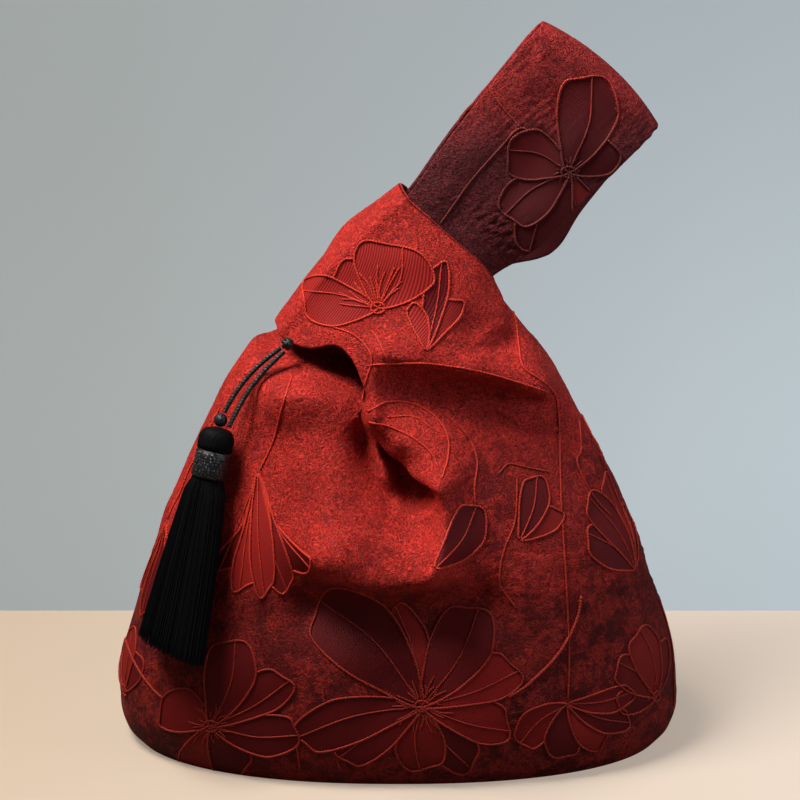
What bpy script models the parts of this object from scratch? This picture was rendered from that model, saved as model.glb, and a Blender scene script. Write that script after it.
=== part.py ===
"""Wrist knot bag in patterned cloth: a bucket body on an oval base, with two handle loops.

The front and back panels are cut like a vest. Each carries half of a short loop and half of a
long loop, and the long loop is threaded through the short one, which closes the mouth. A silk
tassel hangs from a knot under the edge of the short loop.

Metres, +Z up, -Y is the front. The origin is the middle of the base, on the floor.
"""

import math

import bpy
from mathutils import Vector

MM = 0.001

# Body sizes
BODY_WIDTH = 228 * MM
BODY_DEPTH = 112 * MM
BODY_HEIGHT = 163 * MM  # of the left side seam, up to where the long loop leaves it
RIGHT_SEAM_RISE = 18 * MM  # how far the right side seam ends above the left one
MOUTH_DROP = 23 * MM  # how far the notch between the loops is cut below the left seam's end

# Cloth sizes
CLOTH_THICKNESS = 1.4 * MM
LINING_THICKNESS = 0.9 * MM
BOARD_THICKNESS = 1.6 * MM
CLOTH_GAP = 0.3 * MM
BASE_CLEARANCE = 0.2 * MM  # more room for the base than the gap, for the wall's slant

# Handle loops
LOOP_BACK_SPREAD = 10 * MM

# Tassel sizes
KNOT_RADIUS = 2.6 * MM
STRAND_RADIUS = 0.9 * MM
STRAND_BOW = 2.2 * MM
STRAND_FOOT = 4.3 * MM  # how far from the cap's middle the right strand comes down on it
BEAD_RADIUS = 2.6 * MM
CAP_RADIUS = 6.7 * MM
CAP_LENGTH = 8.5 * MM
BAND_RADIUS = 6.6 * MM
BAND_LENGTH = 10.3 * MM
SKIRT_LENGTH = 67 * MM
SKIRT_TOP_RADIUS = 6.3 * MM
SKIRT_END_WIDTH = 28 * MM
SKIRT_END_DEPTH = 13 * MM
TASSEL_GAP = 0.3 * MM

# Width, depth and height in millimetres at which the outline, stations and folds were drawn;
# they are graded from there to the sizes above, as a sewing pattern is
DRAWN = (228, 112, 163)

# Side outline of the body: height in millimetres, shares of the body's width and depth, and how
# far the middle leans to the left
OUTLINE = [
    (0, 0.940, 0.910, 0.0),
    (5, 0.978, 0.955, 0.0),
    (14, 1.000, 1.000, 0.0),
    (32, 0.986, 1.000, 0.0),
    (54, 0.926, 0.955, 0.4),
    (76, 0.864, 0.890, 0.4),
    (90, 0.818, 0.830, 0.4),
    (107, 0.752, 0.735, 0.6),
    (122, 0.689, 0.625, 1.3),
    (135, 0.627, 0.520, 1.5),
    (150, 0.557, 0.430, 1.9),
    (163, 0.479, 0.370, 2.0),
    (172, 0.415, 0.335, 2.2),
    (182, 0.345, 0.300, 2.4),
]
ROUNDNESS = 2.25  # exponent of the horizontal outline; 2 is an ellipse

# Where the mouth's notch is cut in a panel, as positions from the left seam (-1) to the right (1)
LONG_LOOP_EDGE = -0.17
SHORT_LOOP_EDGE = -0.10

# Stations of the long loop from its root up: outer edge, middle and inner edge, each as
# millimetres across, out from the middle plane and up
LONG_STATIONS = [
    ((-49.0, 4.5, 164.5), (-33.0, 26.0, 155.5), (-14.5, 23.0, 150.0)),
    ((-38.5, 6.0, 170.5), (-24.0, 13.5, 162.0), (-7.0, 17.0, 154.5)),
    ((-19.0, 6.5, 193.0), (-3.5, 9.0, 180.0), (12.0, 9.0, 167.0)),
    ((4.0, 8.0, 219.0), (19.5, 9.5, 203.5), (35.0, 6.5, 188.0)),
    ((15.8, 9.0, 235.4), (34.5, 11.0, 218.5), (52.5, 9.0, 200.5)),
    ((27.9, 9.0, 251.2), (47.3, 11.5, 233.9), (66.7, 9.0, 215.6)),
    ((48.0, 7.5, 275.6), (71.5, 9.0, 259.5), (91.0, 7.5, 239.4)),
]
LONG_CREST = ((53.5, 281.5), (78.0, 266.0), (96.5, 245.0))

# Stations of the short loop, given in the same way
SHORT_STATIONS = [
    ((38.0, 5.5, 185.0), (31.0, 21.5, 166.0), (-12.0, 27.5, 150.0)),
    ((33.0, 12.0, 192.0), (18.0, 24.5, 177.0), (-15.0, 27.0, 160.0)),
    ((18.5, 15.0, 205.0), (-2.0, 23.0, 187.5), (-32.5, 22.5, 164.0)),
    ((4.0, 13.5, 217.5), (-21.5, 17.0, 195.0), (-43.5, 15.0, 166.5)),
]
SHORT_CREST = ((0.0, 222.5), (-25.5, 199.0), (-47.5, 170.0))

# Folds of a panel: a line of (across, up) points in millimetres, how far the cloth stands out
# along it, and how far that reaches to the left and to the right, seen along the line
FRONT_FOLDS = [
    ([(-9, 164), (8, 163), (22, 160), (37, 156), (54, 150)], 9.0, 18, 8),
    ([(1, 150), (19, 149), (41, 145), (54, 141)], -4.0, 8, 12),
    ([(-40, 152), (-34, 136), (-27, 119), (-23, 104)], 8.0, 12, 20),
    ([(-13, 141), (-9, 124), (-6, 110)], -7.0, 6, 8),
    ([(-12, 147), (-6, 140), (1, 136), (8, 132), (12, 126), (15, 119)], 9.0, 12, 6),
    ([(-3, 126), (2, 118), (8, 110)], -8.0, 6, 7),
    ([(-22, 96), (-5, 94), (10, 98)], 6.0, 13, 12),
    ([(15, 117), (12, 107), (14, 92)], 3.5, 7, 6),
    ([(-26, 72), (-3, 76), (15, 80), (30, 73)], -3.5, 10, 14),
    ([(28, 172), (41, 167)], -3.5, 8, 8),
]
BACK_FOLDS = [
    ([(-12, 163), (10, 162), (34, 158), (60, 146)], 7.0, 20, 10),
    ([(2, 146), (30, 143), (56, 134)], -4.0, 8, 12),
    ([(-38, 148), (-33, 124), (-30, 94)], 6.0, 13, 18),
    ([(-12, 138), (-13, 118), (-15, 88)], -5.0, 8, 8),
    ([(16, 132), (22, 108), (24, 76)], 5.0, 9, 11),
]
SEAM_FADE = 0.3  # share of the panel over which folds fade out toward a side seam

# Grid of a panel
LONG_COLUMNS = 10
SHORT_COLUMNS = 14
COLUMN_BIAS = 1.3  # above 1 the columns stand closer near the notch
ROW_HEIGHTS = [0, 0.03, 0.10, 0.22, 0.34, 0.45, 0.54, 0.62, 0.70, 0.775, 0.85, 0.925, 1]
LONG_ROWS_PER_STATION = [1, 1, 1, 1, 2, 1, 1]
SHORT_ROWS_PER_STATION = [2, 1, 1, 1]
CREST_STEPS = 3
STRAND_POINTS = 9
SKIRT_RINGS = 8

# Where the tassel hangs: the knot sits on the hem of the short loop, this share of the way from
# the loop's last station to the one before, and the cap and the skirt's end lie off the wall
KNOT_SHARE = 0.27
KNOT_SIDE = Vector((-0.30, -0.93, -0.20)).normalized()
CAP_PLACE = (-67.0, -28.0, 135.0)
SKIRT_END_PLACE = (-86.5, -46.5, 50.3)
TASSEL_FACING = Vector((-0.525, -0.851, 0.0))

MATERIALS = {
    "jacquard_cloth": ((0.42, 0.02, 0.02), 0.62, 0.0),
    "lining_cloth": ((0.30, 0.015, 0.02), 0.75, 0.0),
    "stiff_board": ((0.35, 0.30, 0.25), 0.85, 0.0),
    "black_cord": ((0.012, 0.012, 0.013), 0.45, 0.0),
    "black_silk": ((0.008, 0.008, 0.009), 0.5, 0.0),
    "silver_band": ((0.10, 0.10, 0.11), 0.35, 0.6),
}


def smooth_step(t):
    """0 below 0, 1 above 1, with a soft start and end."""
    t = min(1.0, max(0.0, t))
    return t * t * (3 - 2 * t)


def spline(points, t):
    """The Catmull-Rom curve through the points, at t from 0 to the number of spans."""
    span = min(max(int(math.floor(t)), 0), len(points) - 2)
    s = t - span
    b, c = points[span], points[span + 1]
    a = points[span - 1] if span > 0 else b * 2 - c
    d = points[span + 2] if span + 2 < len(points) else c * 2 - b
    return 0.5 * (
        (b * 2)
        + (c - a) * s
        + (a * 2 - b * 5 + c * 4 - d) * (s * s)
        + (b * 3 - a - c * 3 + d) * (s * s * s)
    )


def graded(across, out, up):
    """A drawn place in metres at the bag's own width, depth and height."""
    return Vector((across * BODY_WIDTH / DRAWN[0], out * BODY_DEPTH / DRAWN[1],
                   up * BODY_HEIGHT / DRAWN[2]))


def outline_at(height):
    """Half width, half depth and lean of the body at a height."""
    heights = [knot[0] * BODY_HEIGHT / DRAWN[2] for knot in OUTLINE]
    height = min(max(height, heights[0]), heights[-1])
    span = max(i for i in range(len(heights) - 1) if heights[i] <= height)
    t = span + (height - heights[span]) / (heights[span + 1] - heights[span])
    found = spline([Vector(knot[1:]) for knot in OUTLINE], t)
    return found.x * BODY_WIDTH / 2, found.y * BODY_DEPTH / 2, found.z * BODY_WIDTH / DRAWN[0]


def wall_point(u, height, side):
    """A point of the body's wall; side is -1 for the front and 1 for the back."""
    half_width, half_depth, lean = outline_at(height)
    angle = u * math.pi / 2
    power = 2 / ROUNDNESS
    across = half_width * math.copysign(abs(math.sin(angle)) ** power, u) - lean
    out = half_depth * abs(math.cos(angle)) ** power
    return Vector((across, side * max(out, CLOTH_GAP / 2), height))


def wall_top(u):
    """Height at which the wall ends and a loop begins."""
    mouth = BODY_HEIGHT - MOUTH_DROP
    if u <= LONG_LOOP_EDGE:
        return mouth + MOUTH_DROP * (LONG_LOOP_EDGE - u) / (LONG_LOOP_EDGE + 1)
    rise = MOUTH_DROP + RIGHT_SEAM_RISE
    return mouth + rise * max(0, u - SHORT_LOOP_EDGE) / (1 - SHORT_LOOP_EDGE)


def column_places(group):
    """Where a group's columns stand, from the left seam (-1) to the right one (1)."""
    if group == "long":
        shares = [1 - (1 - i / LONG_COLUMNS) ** COLUMN_BIAS for i in range(LONG_COLUMNS + 1)]
        return [-1 + (LONG_LOOP_EDGE + 1) * share for share in shares]
    shares = [(i / SHORT_COLUMNS) ** COLUMN_BIAS for i in range(SHORT_COLUMNS + 1)]
    return [SHORT_LOOP_EDGE + (1 - SHORT_LOOP_EDGE) * share for share in shares]


def fold_lift(point, folds):
    """How far the folds push the cloth out at a point, from its place across and up."""
    total = 0.0
    place = (point.x * DRAWN[0] / BODY_WIDTH, point.z * DRAWN[2] / BODY_HEIGHT)
    for path, lift, reach_left, reach_right in folds:
        nearest, turn = None, 0.0
        for start, end in zip(path, path[1:]):
            along_x, along_z = end[0] - start[0], end[1] - start[1]
            away_x, away_z = place[0] - start[0], place[1] - start[1]
            length = math.hypot(along_x, along_z)
            share = (away_x * along_x + away_z * along_z) / length ** 2
            share = min(1.0, max(0.0, share))
            distance = math.hypot(away_x - along_x * share, away_z - along_z * share)
            if nearest is None or distance < nearest:
                nearest = distance
                turn = (along_x * away_z - along_z * away_x) / (length * max(distance, 0.001))
        turn = min(1.0, max(-1.0, turn))
        reach = reach_right + (reach_left - reach_right) * (1 + turn) / 2
        total += lift * math.exp(-((nearest / reach) ** 2))
    return total * BODY_DEPTH / DRAWN[1]


def station_point(station, share, side):
    """A point across a loop, at a share of the way from its outer edge to its inner edge."""
    outer, middle, inner = (Vector(place) for place in station)
    place = (outer * ((1 - share) * (1 - 2 * share)) + middle * (4 * share * (1 - share))
             + inner * (share * (2 * share - 1)))
    return graded(place.x, side * place.y, place.z)


def loop_points(root, below, share, side, stations, rows, crest, spread):
    """The points of one column up a loop, from above its root to its crest."""
    path = [below, root]
    path += [station_point(station, share, side) for station in stations]
    for index, rise in spread:
        direction = Vector((0.75, 0.0, -0.66))
        path[index + 2] += direction * (rise * share ** 3)
    points = []
    for span, count in enumerate(rows):
        for step in range(1, count + 1):
            points.append(spline(path, 1 + span + step / count))
    last = points[-1]
    top = station_point([(across, 0, up) for across, up in crest], share, side)
    for step in range(1, CREST_STEPS + 1):
        angle = math.pi / 2 * step / CREST_STEPS
        place = last.lerp(top, math.sin(angle))
        place.y = side * max(abs(last.y) * math.cos(angle), CLOTH_GAP / 2)
        points.append(place)
    return points


def panel_columns(side):
    """Every column of a panel as (group, u, points), before its thickness is given."""
    folds = FRONT_FOLDS if side < 0 else BACK_FOLDS
    groups = [
        ("long", LONG_STATIONS, LONG_ROWS_PER_STATION, LONG_CREST),
        ("short", SHORT_STATIONS, SHORT_ROWS_PER_STATION, SHORT_CREST),
    ]
    columns = []
    for group, stations, rows, crest in groups:
        places = column_places(group)
        for u in places:
            top = wall_top(u)
            wall = [wall_point(u, top * height, side) for height in ROW_HEIGHTS]
            share = (u - places[0]) / (places[-1] - places[0])
            if group == "short":
                share = 1 - share
            spread = []
            if group == "long" and side > 0:
                spread = [(4, LOOP_BACK_SPREAD), (5, LOOP_BACK_SPREAD * 0.6)]
            loop = loop_points(wall[-1], wall[-2], share, side, stations, rows, crest, spread)
            fade = smooth_step((1 - abs(u)) / SEAM_FADE)
            for point in wall:
                point.y += side * fold_lift(point, folds) * fade
            reach = 2 if group == "long" else 5
            for row, point in enumerate(loop[:-CREST_STEPS]):
                weight = fade * (1 - smooth_step((row + 1) / reach))
                point.y += side * fold_lift(point, folds) * weight
            columns.append((group, u, wall + loop))
    return columns


def panel_grid(side):
    """The panel's middle surface: points, triangles and the rows that lie in the middle plane."""
    columns = panel_columns(side)
    points, index, plane = [], [], []
    for group, u, column in columns:
        index.append([])
        for row, point in enumerate(column):
            index[-1].append(len(points))
            points.append(point)
            seam = abs(u) == 1 and row < len(ROW_HEIGHTS)
            plane.append(seam or row == len(column) - 1)
    triangles = []
    for column in range(len(columns) - 1):
        same = columns[column][0] == columns[column + 1][0]
        rows = len(columns[column][2]) if same else len(ROW_HEIGHTS)
        for row in range(rows - 1):
            a, b = index[column][row], index[column + 1][row]
            c, d = index[column + 1][row + 1], index[column][row + 1]
            triangles += [(a, b, d), (b, c, d)]
    if side > 0:
        triangles = [(a, c, b) for a, b, c in triangles]
    return points, triangles, plane


def point_normals(points, triangles, plane):
    """Outward direction at each point; in the middle plane it stays within that plane."""
    normals = [Vector() for _ in points]
    for a, b, c in triangles:
        normal = (points[b] - points[a]).cross(points[c] - points[a])
        for corner in (a, b, c):
            normals[corner] += normal
    for number, normal in enumerate(normals):
        if plane[number]:
            normal.y = 0
        normal.normalize()
    return normals


def layer(points, triangles, normals, near, far):
    """A closed body between two depths under a surface."""
    count = len(points)
    vertices = [point - normal * near for point, normal in zip(points, normals)]
    vertices += [point - normal * far for point, normal in zip(points, normals)]
    faces = list(triangles) + [(c + count, b + count, a + count) for a, b, c in triangles]
    edges = {}
    for a, b, c in triangles:
        for edge in ((a, b), (b, c), (c, a)):
            edges[edge] = True
    for a, b in edges:
        if (b, a) not in edges:
            faces.append((b, a, a + count))
            faces.append((b, a + count, b + count))
    return vertices, faces


def add_object(name, vertices, faces, material, smooth=True):
    """A mesh object with one material."""
    used = sorted({corner for face in faces for corner in face})
    place = {old: new for new, old in enumerate(used)}
    mesh = bpy.data.meshes.new(name)
    mesh.from_pydata([vertices[old] for old in used], [],
                     [[place[corner] for corner in face] for face in faces])
    mesh.materials.append(material)
    for polygon in mesh.polygons:
        polygon.use_smooth = smooth
    mesh.update()
    made = bpy.data.objects.new(name, mesh)
    bpy.context.collection.objects.link(made)
    return made


def make_materials():
    """The part's materials by name."""
    made = {}
    for name, (colour, roughness, metal) in MATERIALS.items():
        material = bpy.data.materials.new(name)
        material.use_nodes = True
        shader = material.node_tree.nodes["Principled BSDF"]
        shader.inputs["Base Color"].default_value = (*colour, 1)
        shader.inputs["Roughness"].default_value = roughness
        shader.inputs["Metallic"].default_value = metal
        material.diffuse_color = (*colour, 1)
        made[name] = material
    return made


def add_panel(side, name, material, near, far, skip_rows=0):
    """A panel's cloth, or its lining, which skips the lowest row to stay clear of the base."""
    points, triangles, plane = panel_grid(side)
    normals = point_normals(points, triangles, plane)
    floor = wall_top(0) * ROW_HEIGHTS[skip_rows]
    kept = [triangle for triangle in triangles
            if all(points[corner].z >= floor - MM / 100 for corner in triangle)]
    vertices, faces = layer(points, kept, normals, near, far)
    return add_object(name, vertices, faces, material)


def base_outline(height, inset):
    """The base's outline at a height, pulled in from the wall; it shares the wall's columns."""
    half_width, half_depth, lean = outline_at(height)
    steps = column_places("long") + column_places("short")
    power = 2 / ROUNDNESS
    points = []
    for side, run in ((-1, steps), (1, steps[::-1])):
        for u in run[:-1]:
            angle = u * math.pi / 2
            across = (half_width - inset) * math.copysign(abs(math.sin(angle)) ** power, u)
            out = (half_depth - inset) * abs(math.cos(angle)) ** power
            points.append((across - lean, side * out))
    return points


def add_base(name, material, bottom, thickness, inset):
    """One flat piece of the base."""
    low = [Vector((x, y, bottom)) for x, y in base_outline(bottom, inset)]
    high = [Vector((point.x, point.y, bottom + thickness)) for point in low]
    count = len(low)
    faces = [tuple(reversed(range(count))), tuple(range(count, 2 * count))]
    for i in range(count):
        j = (i + 1) % count
        faces.append((i, j, j + count, i + count))
    return add_object(name, low + high, faces, material, smooth=False)


def frame_along(direction, facing):
    """Two directions square to a direction: across it, and towards the side it faces."""
    axis = direction.normalized()
    across = axis.cross(facing).normalized()
    return across, across.cross(axis).normalized()


def add_turned(name, material, start, axis, facing, profile, sides):
    """A closed body about an axis from (length, width, depth) rings; 0 width is a point."""
    across, deep = frame_along(axis, facing)
    axis = axis.normalized()
    vertices, faces, rings = [], [], []
    for length, half_width, half_depth in profile:
        centre = start + axis * length
        if half_width == 0:
            rings.append([len(vertices)])
            vertices.append(centre)
            continue
        rings.append([])
        for i in range(sides):
            angle = 2 * math.pi * i / sides
            rings[-1].append(len(vertices))
            vertices.append(centre + across * (half_width * math.cos(angle))
                            - deep * (half_depth * math.sin(angle)))
    for lower, upper in zip(rings, rings[1:]):
        for i in range(sides):
            j = (i + 1) % sides
            if len(lower) == 1:
                faces.append((lower[0], upper[j], upper[i]))
            elif len(upper) == 1:
                faces.append((lower[i], lower[j], upper[0]))
            else:
                faces.append((lower[i], lower[j], upper[j], upper[i]))
    if len(rings[0]) > 1:
        faces.append(tuple(reversed(rings[0])))
    if len(rings[-1]) > 1:
        faces.append(tuple(rings[-1]))
    return add_object(name, vertices, faces, material)


def ball_profile(radius, steps):
    """Rings of a ball from its near pole to its far pole, centred on length 0."""
    rings = []
    for step in range(steps + 1):
        angle = math.pi * step / steps
        width = radius * math.sin(angle) if 0 < step < steps else 0
        rings.append((-radius * math.cos(angle), width, width))
    return rings


def add_strand(name, material, top, bottom, bow):
    """One strand of the doubled cord, bowed to one side between its ends."""
    curve = bpy.data.curves.new(name, "CURVE")
    curve.dimensions = "3D"
    curve.bevel_depth = STRAND_RADIUS
    curve.bevel_resolution = 2
    curve.use_fill_caps = True
    line = curve.splines.new("POLY")
    line.points.add(STRAND_POINTS - 1)
    for step in range(STRAND_POINTS):
        share = step / (STRAND_POINTS - 1)
        place = top.lerp(bottom, share) + bow * math.sin(math.pi * share)
        line.points[step].co = (*place, 1)
    curve.materials.append(material)
    made = bpy.data.objects.new(name, curve)
    bpy.context.collection.objects.link(made)
    return made


def add_tassel(materials):
    """The hanging knot and the tassel on its cord; the moving pieces turn about the knot."""
    cord, silk, band = (materials[key] for key in ("black_cord", "black_silk", "silver_band"))
    hem = station_point(SHORT_STATIONS[-1], 1, -1).lerp(
        station_point(SHORT_STATIONS[-2], 1, -1), KNOT_SHARE)
    knot = hem + KNOT_SIDE * (KNOT_RADIUS + CLOTH_GAP * 1.5)
    cap_top, skirt_end = graded(*CAP_PLACE), graded(*SKIRT_END_PLACE)
    lean = (skirt_end - cap_top).normalized()
    bead = cap_top - lean * (BEAD_RADIUS + TASSEL_GAP)
    run = (bead - knot).normalized()
    add_turned("hanging_knot", cord, knot, run, TASSEL_FACING, ball_profile(KNOT_RADIUS, 7), 14)

    moving = []
    left, _ = frame_along(run, TASSEL_FACING)
    beside = left * (STRAND_RADIUS + TASSEL_GAP / 2)
    bow = left * STRAND_BOW
    top = knot + run * (KNOT_RADIUS + TASSEL_GAP)
    foot = bead - run * (BEAD_RADIUS + TASSEL_GAP)
    moving.append(add_strand("tassel_cord_left", cord, top + beside, foot + beside, bow))
    cap_left, _ = frame_along(lean, TASSEL_FACING)
    foot = cap_top - cap_left * STRAND_FOOT - lean * (STRAND_RADIUS + TASSEL_GAP)
    moving.append(add_strand("tassel_cord_right", cord, top - beside, foot, bow))
    moving.append(add_turned("cord_bead", cord, bead, lean, TASSEL_FACING,
                             ball_profile(BEAD_RADIUS, 7), 14))
    dome = [(0, 0.30), (0.06, 0.62), (0.22, 0.88), (0.5, 1.0), (1, 1)]
    moving.append(add_turned(
        "tassel_cap", silk, cap_top, lean, TASSEL_FACING,
        [(along * CAP_LENGTH, width * CAP_RADIUS, width * CAP_RADIUS) for along, width in dome],
        22))
    start = cap_top + lean * (CAP_LENGTH + TASSEL_GAP)
    barrel = [(0, 0.9), (0.06, 1), (0.94, 1), (1, 0.9)]
    moving.append(add_turned(
        "tassel_band", band, start, lean, TASSEL_FACING,
        [(along * BAND_LENGTH, width * BAND_RADIUS, width * BAND_RADIUS)
         for along, width in barrel], 22))
    start = start + lean * (BAND_LENGTH + TASSEL_GAP)
    rings = []
    for step in range(SKIRT_RINGS):
        share = (step / (SKIRT_RINGS - 1)) ** 1.5
        flare = share ** 0.5
        half_width = SKIRT_TOP_RADIUS + (SKIRT_END_WIDTH / 2 - SKIRT_TOP_RADIUS) * flare
        half_depth = SKIRT_TOP_RADIUS + (SKIRT_END_DEPTH / 2 - SKIRT_TOP_RADIUS) * flare
        rings.append((SKIRT_LENGTH * share, half_width, half_depth))
    moving.append(add_turned("tassel_skirt", silk, start, lean, TASSEL_FACING, rings, 26))

    pivot = bpy.data.objects.new("tassel_pivot", None)
    pivot.empty_display_size = KNOT_RADIUS
    pivot.location = knot
    bpy.context.collection.objects.link(pivot)
    for piece in moving:
        piece.parent = pivot
        piece.location = -knot


def build():
    """Every piece of the bag."""
    for old in list(bpy.data.objects):
        bpy.data.objects.remove(old)
    materials = make_materials()
    cloth, lining = materials["jacquard_cloth"], materials["lining_cloth"]
    near = CLOTH_THICKNESS + CLOTH_GAP
    far = near + LINING_THICKNESS
    add_panel(-1, "front_panel", cloth, 0, CLOTH_THICKNESS)
    add_panel(1, "back_panel", cloth, 0, CLOTH_THICKNESS)
    add_panel(-1, "front_lining", lining, near, far, skip_rows=1)
    add_panel(1, "back_lining", lining, near, far, skip_rows=1)
    inset = near + BASE_CLEARANCE
    add_base("base_panel", cloth, 0, CLOTH_THICKNESS, inset)
    board = CLOTH_THICKNESS + CLOTH_GAP
    inset += board * 0.4
    add_base("base_board", materials["stiff_board"], board, BOARD_THICKNESS, inset)
    cover = board + BOARD_THICKNESS + CLOTH_GAP
    add_base("base_lining", lining, cover, LINING_THICKNESS, inset)
    add_tassel(materials)


build()
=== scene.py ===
import math

import bpy
import numpy as np
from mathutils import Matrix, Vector
from mathutils.bvhtree import BVHTree


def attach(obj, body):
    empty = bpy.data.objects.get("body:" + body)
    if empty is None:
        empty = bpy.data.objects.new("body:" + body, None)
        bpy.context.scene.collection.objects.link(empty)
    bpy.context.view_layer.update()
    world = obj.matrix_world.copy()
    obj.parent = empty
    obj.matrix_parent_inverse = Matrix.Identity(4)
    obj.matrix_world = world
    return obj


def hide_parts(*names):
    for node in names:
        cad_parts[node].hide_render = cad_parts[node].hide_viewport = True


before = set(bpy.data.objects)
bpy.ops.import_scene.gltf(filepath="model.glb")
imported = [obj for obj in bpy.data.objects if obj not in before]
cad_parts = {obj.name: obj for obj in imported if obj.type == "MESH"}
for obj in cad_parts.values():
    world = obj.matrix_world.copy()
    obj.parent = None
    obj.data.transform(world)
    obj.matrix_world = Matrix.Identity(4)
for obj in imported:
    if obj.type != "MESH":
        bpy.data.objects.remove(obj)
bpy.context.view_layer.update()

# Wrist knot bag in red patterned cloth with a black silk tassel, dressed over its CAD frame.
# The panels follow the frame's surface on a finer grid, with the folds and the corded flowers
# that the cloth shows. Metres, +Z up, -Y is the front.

MM = 0.001

# Body and cloth, as in the frame
CLOTH_GAP = 0.3 * MM
HEM_RADIUS = 0.85 * MM
LOOP_BACK_SPREAD = 8 * MM
BODY_HEIGHT = 163 * MM
RIGHT_SEAM_RISE = 18 * MM
MOUTH_DROP = 23 * MM
BODY_WIDTH = 228 * MM
BODY_DEPTH = 112 * MM
ROUNDNESS = 2.25
LONG_LOOP_EDGE = -0.17
SHORT_LOOP_EDGE = -0.10
SEAM_FADE = 0.3
COLUMN_BIAS = 1.3
ROOT_HEIGHT = 0.925  # share of the wall's height that sets how a loop leaves it

# Side outline of the body: height in millimetres, shares of width and depth, lean to the left
OUTLINE = [
    (0, 0.940, 0.910, 0.0), (5, 0.978, 0.955, 0.0), (14, 1.000, 1.000, 0.0),
    (32, 0.986, 1.000, 0.0), (54, 0.926, 0.955, 0.4), (76, 0.864, 0.890, 0.4),
    (90, 0.818, 0.830, 0.4), (107, 0.752, 0.735, 0.6), (122, 0.689, 0.625, 1.3),
    (135, 0.627, 0.520, 1.5), (150, 0.557, 0.430, 1.9), (163, 0.479, 0.370, 2.0),
    (172, 0.415, 0.335, 2.2), (182, 0.345, 0.300, 2.4),
]

# Stations of the two handle loops: outer edge, middle and inner edge, in millimetres
LONG_STATIONS = [
    ((-49.0, 4.5, 164.5), (-33.0, 26.0, 155.5), (-14.5, 23.0, 150.0)),
    ((-38.5, 6.0, 170.5), (-24.0, 13.5, 162.0), (-7.0, 17.0, 154.5)),
    ((-19.0, 6.5, 193.0), (-3.5, 9.0, 180.0), (12.0, 9.0, 167.0)),
    ((4.0, 8.0, 219.0), (19.5, 9.5, 203.5), (35.0, 6.5, 188.0)),
    ((15.8, 9.0, 235.4), (34.5, 11.0, 218.5), (52.5, 9.0, 200.5)),
    ((27.9, 9.0, 251.2), (47.3, 11.5, 233.9), (66.7, 9.0, 215.6)),
    ((48.0, 7.5, 275.6), (71.5, 9.0, 259.5), (91.0, 7.5, 239.4)),
]
LONG_CREST = ((53.5, 281.5), (78.0, 266.0), (96.5, 245.0))
SHORT_STATIONS = [
    ((38.0, 5.5, 185.0), (31.0, 21.5, 166.0), (-12.0, 27.5, 150.0)),
    ((33.0, 12.0, 192.0), (18.0, 24.5, 177.0), (-15.0, 27.0, 160.0)),
    ((18.5, 15.0, 205.0), (-2.0, 23.0, 187.5), (-32.5, 22.5, 164.0)),
    ((4.0, 13.5, 217.5), (-21.5, 17.0, 195.0), (-43.5, 15.0, 166.5)),
]
SHORT_CREST = ((0.0, 222.5), (-25.5, 199.0), (-47.5, 170.0))

# Folds: a line of (across, up) points, how far the cloth stands out, reach to left and right
FRONT_FOLDS = [
    ([(-9, 164), (8, 163), (22, 160), (37, 156), (54, 150)], 9.0, 18, 8),
    ([(1, 150), (19, 149), (41, 145), (54, 141)], -2.6, 8, 12),
    ([(-40, 152), (-34, 136), (-27, 119), (-22, 102)], 10.0, 13, 17),
    ([(-14, 146), (-14.5, 136), (-13, 125), (-9, 115), (-2, 107), (7, 102)], -6.0, 5, 5),
    ([(-11, 140), (-3, 138), (5, 134), (11, 128), (14, 121)], 7.6, 14, 7),
    ([(-26, 91), (-14, 85), (-2, 84), (8, 87), (14, 94)], 9.5, 14, 7),
    ([(16, 117), (18, 108), (17, 99), (13, 88)], 6.5, 9, 5),
    ([(-32, 72), (-10, 66), (8, 68), (30, 73)], -5.5, 8, 13),
    ([(28, 172), (41, 167)], -5.0, 8, 6),
]
# Sharper creases that the frame leaves out
FRONT_CREASES = [
    ([(-7, 165), (8, 162), (22, 158.5), (37, 154), (52, 148)], 3.4, 8, 2.4),
    ([(-1, 159), (10, 157), (24, 154), (38, 149.5)], -1.4, 1.8, 6),
    ([(-6.5, 165), (-6.5, 160), (-9, 154), (-10.5, 148), (-10, 143)], 5.2, 3.6, 3.6),
    ([(-11, 139), (-3, 137.5), (5, 133.5), (11, 127.5), (14, 121)], 1.6, 3, 2.6),
    ([(-14.5, 148), (-15, 137), (-13.4, 126), (-9.5, 116), (-3, 108.5)], -2.2, 2.6, 2.2),
    ([(14, 117), (16.5, 109), (16, 101), (12, 90)], 1.8, 3.5, 2.4),
    ([(22, 151), (38, 147.5), (52, 143)], -1.2, 1.8, 2.2),
    ([(26, 144), (40, 141.5), (54, 137)], 1.3, 2.2, 2.6),
    ([(20, 139), (36, 137), (50, 131)], -1.0, 1.8, 2.4),
    ([(30, 168), (37, 172), (45, 171)], 1.6, 2.4, 2.0),
    ([(24, 165), (33, 165), (42, 162)], -1.4, 2.0, 2.6),
]
# The hollow under the ear-shaped fold: its outline, its depth and how wide its edge is
FRONT_HOLLOW = [
    (-7, 131), (-1.3, 127.5), (4, 122), (8, 118), (12.5, 116.5), (12.5, 112), (10.5, 107.5),
    (7.5, 104.5), (2.4, 107), (-1.3, 112), (-4, 118.5), (-6.5, 126),
]
HOLLOW_DEPTH = 17.0
HOLLOW_EDGE = 2.8
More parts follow.
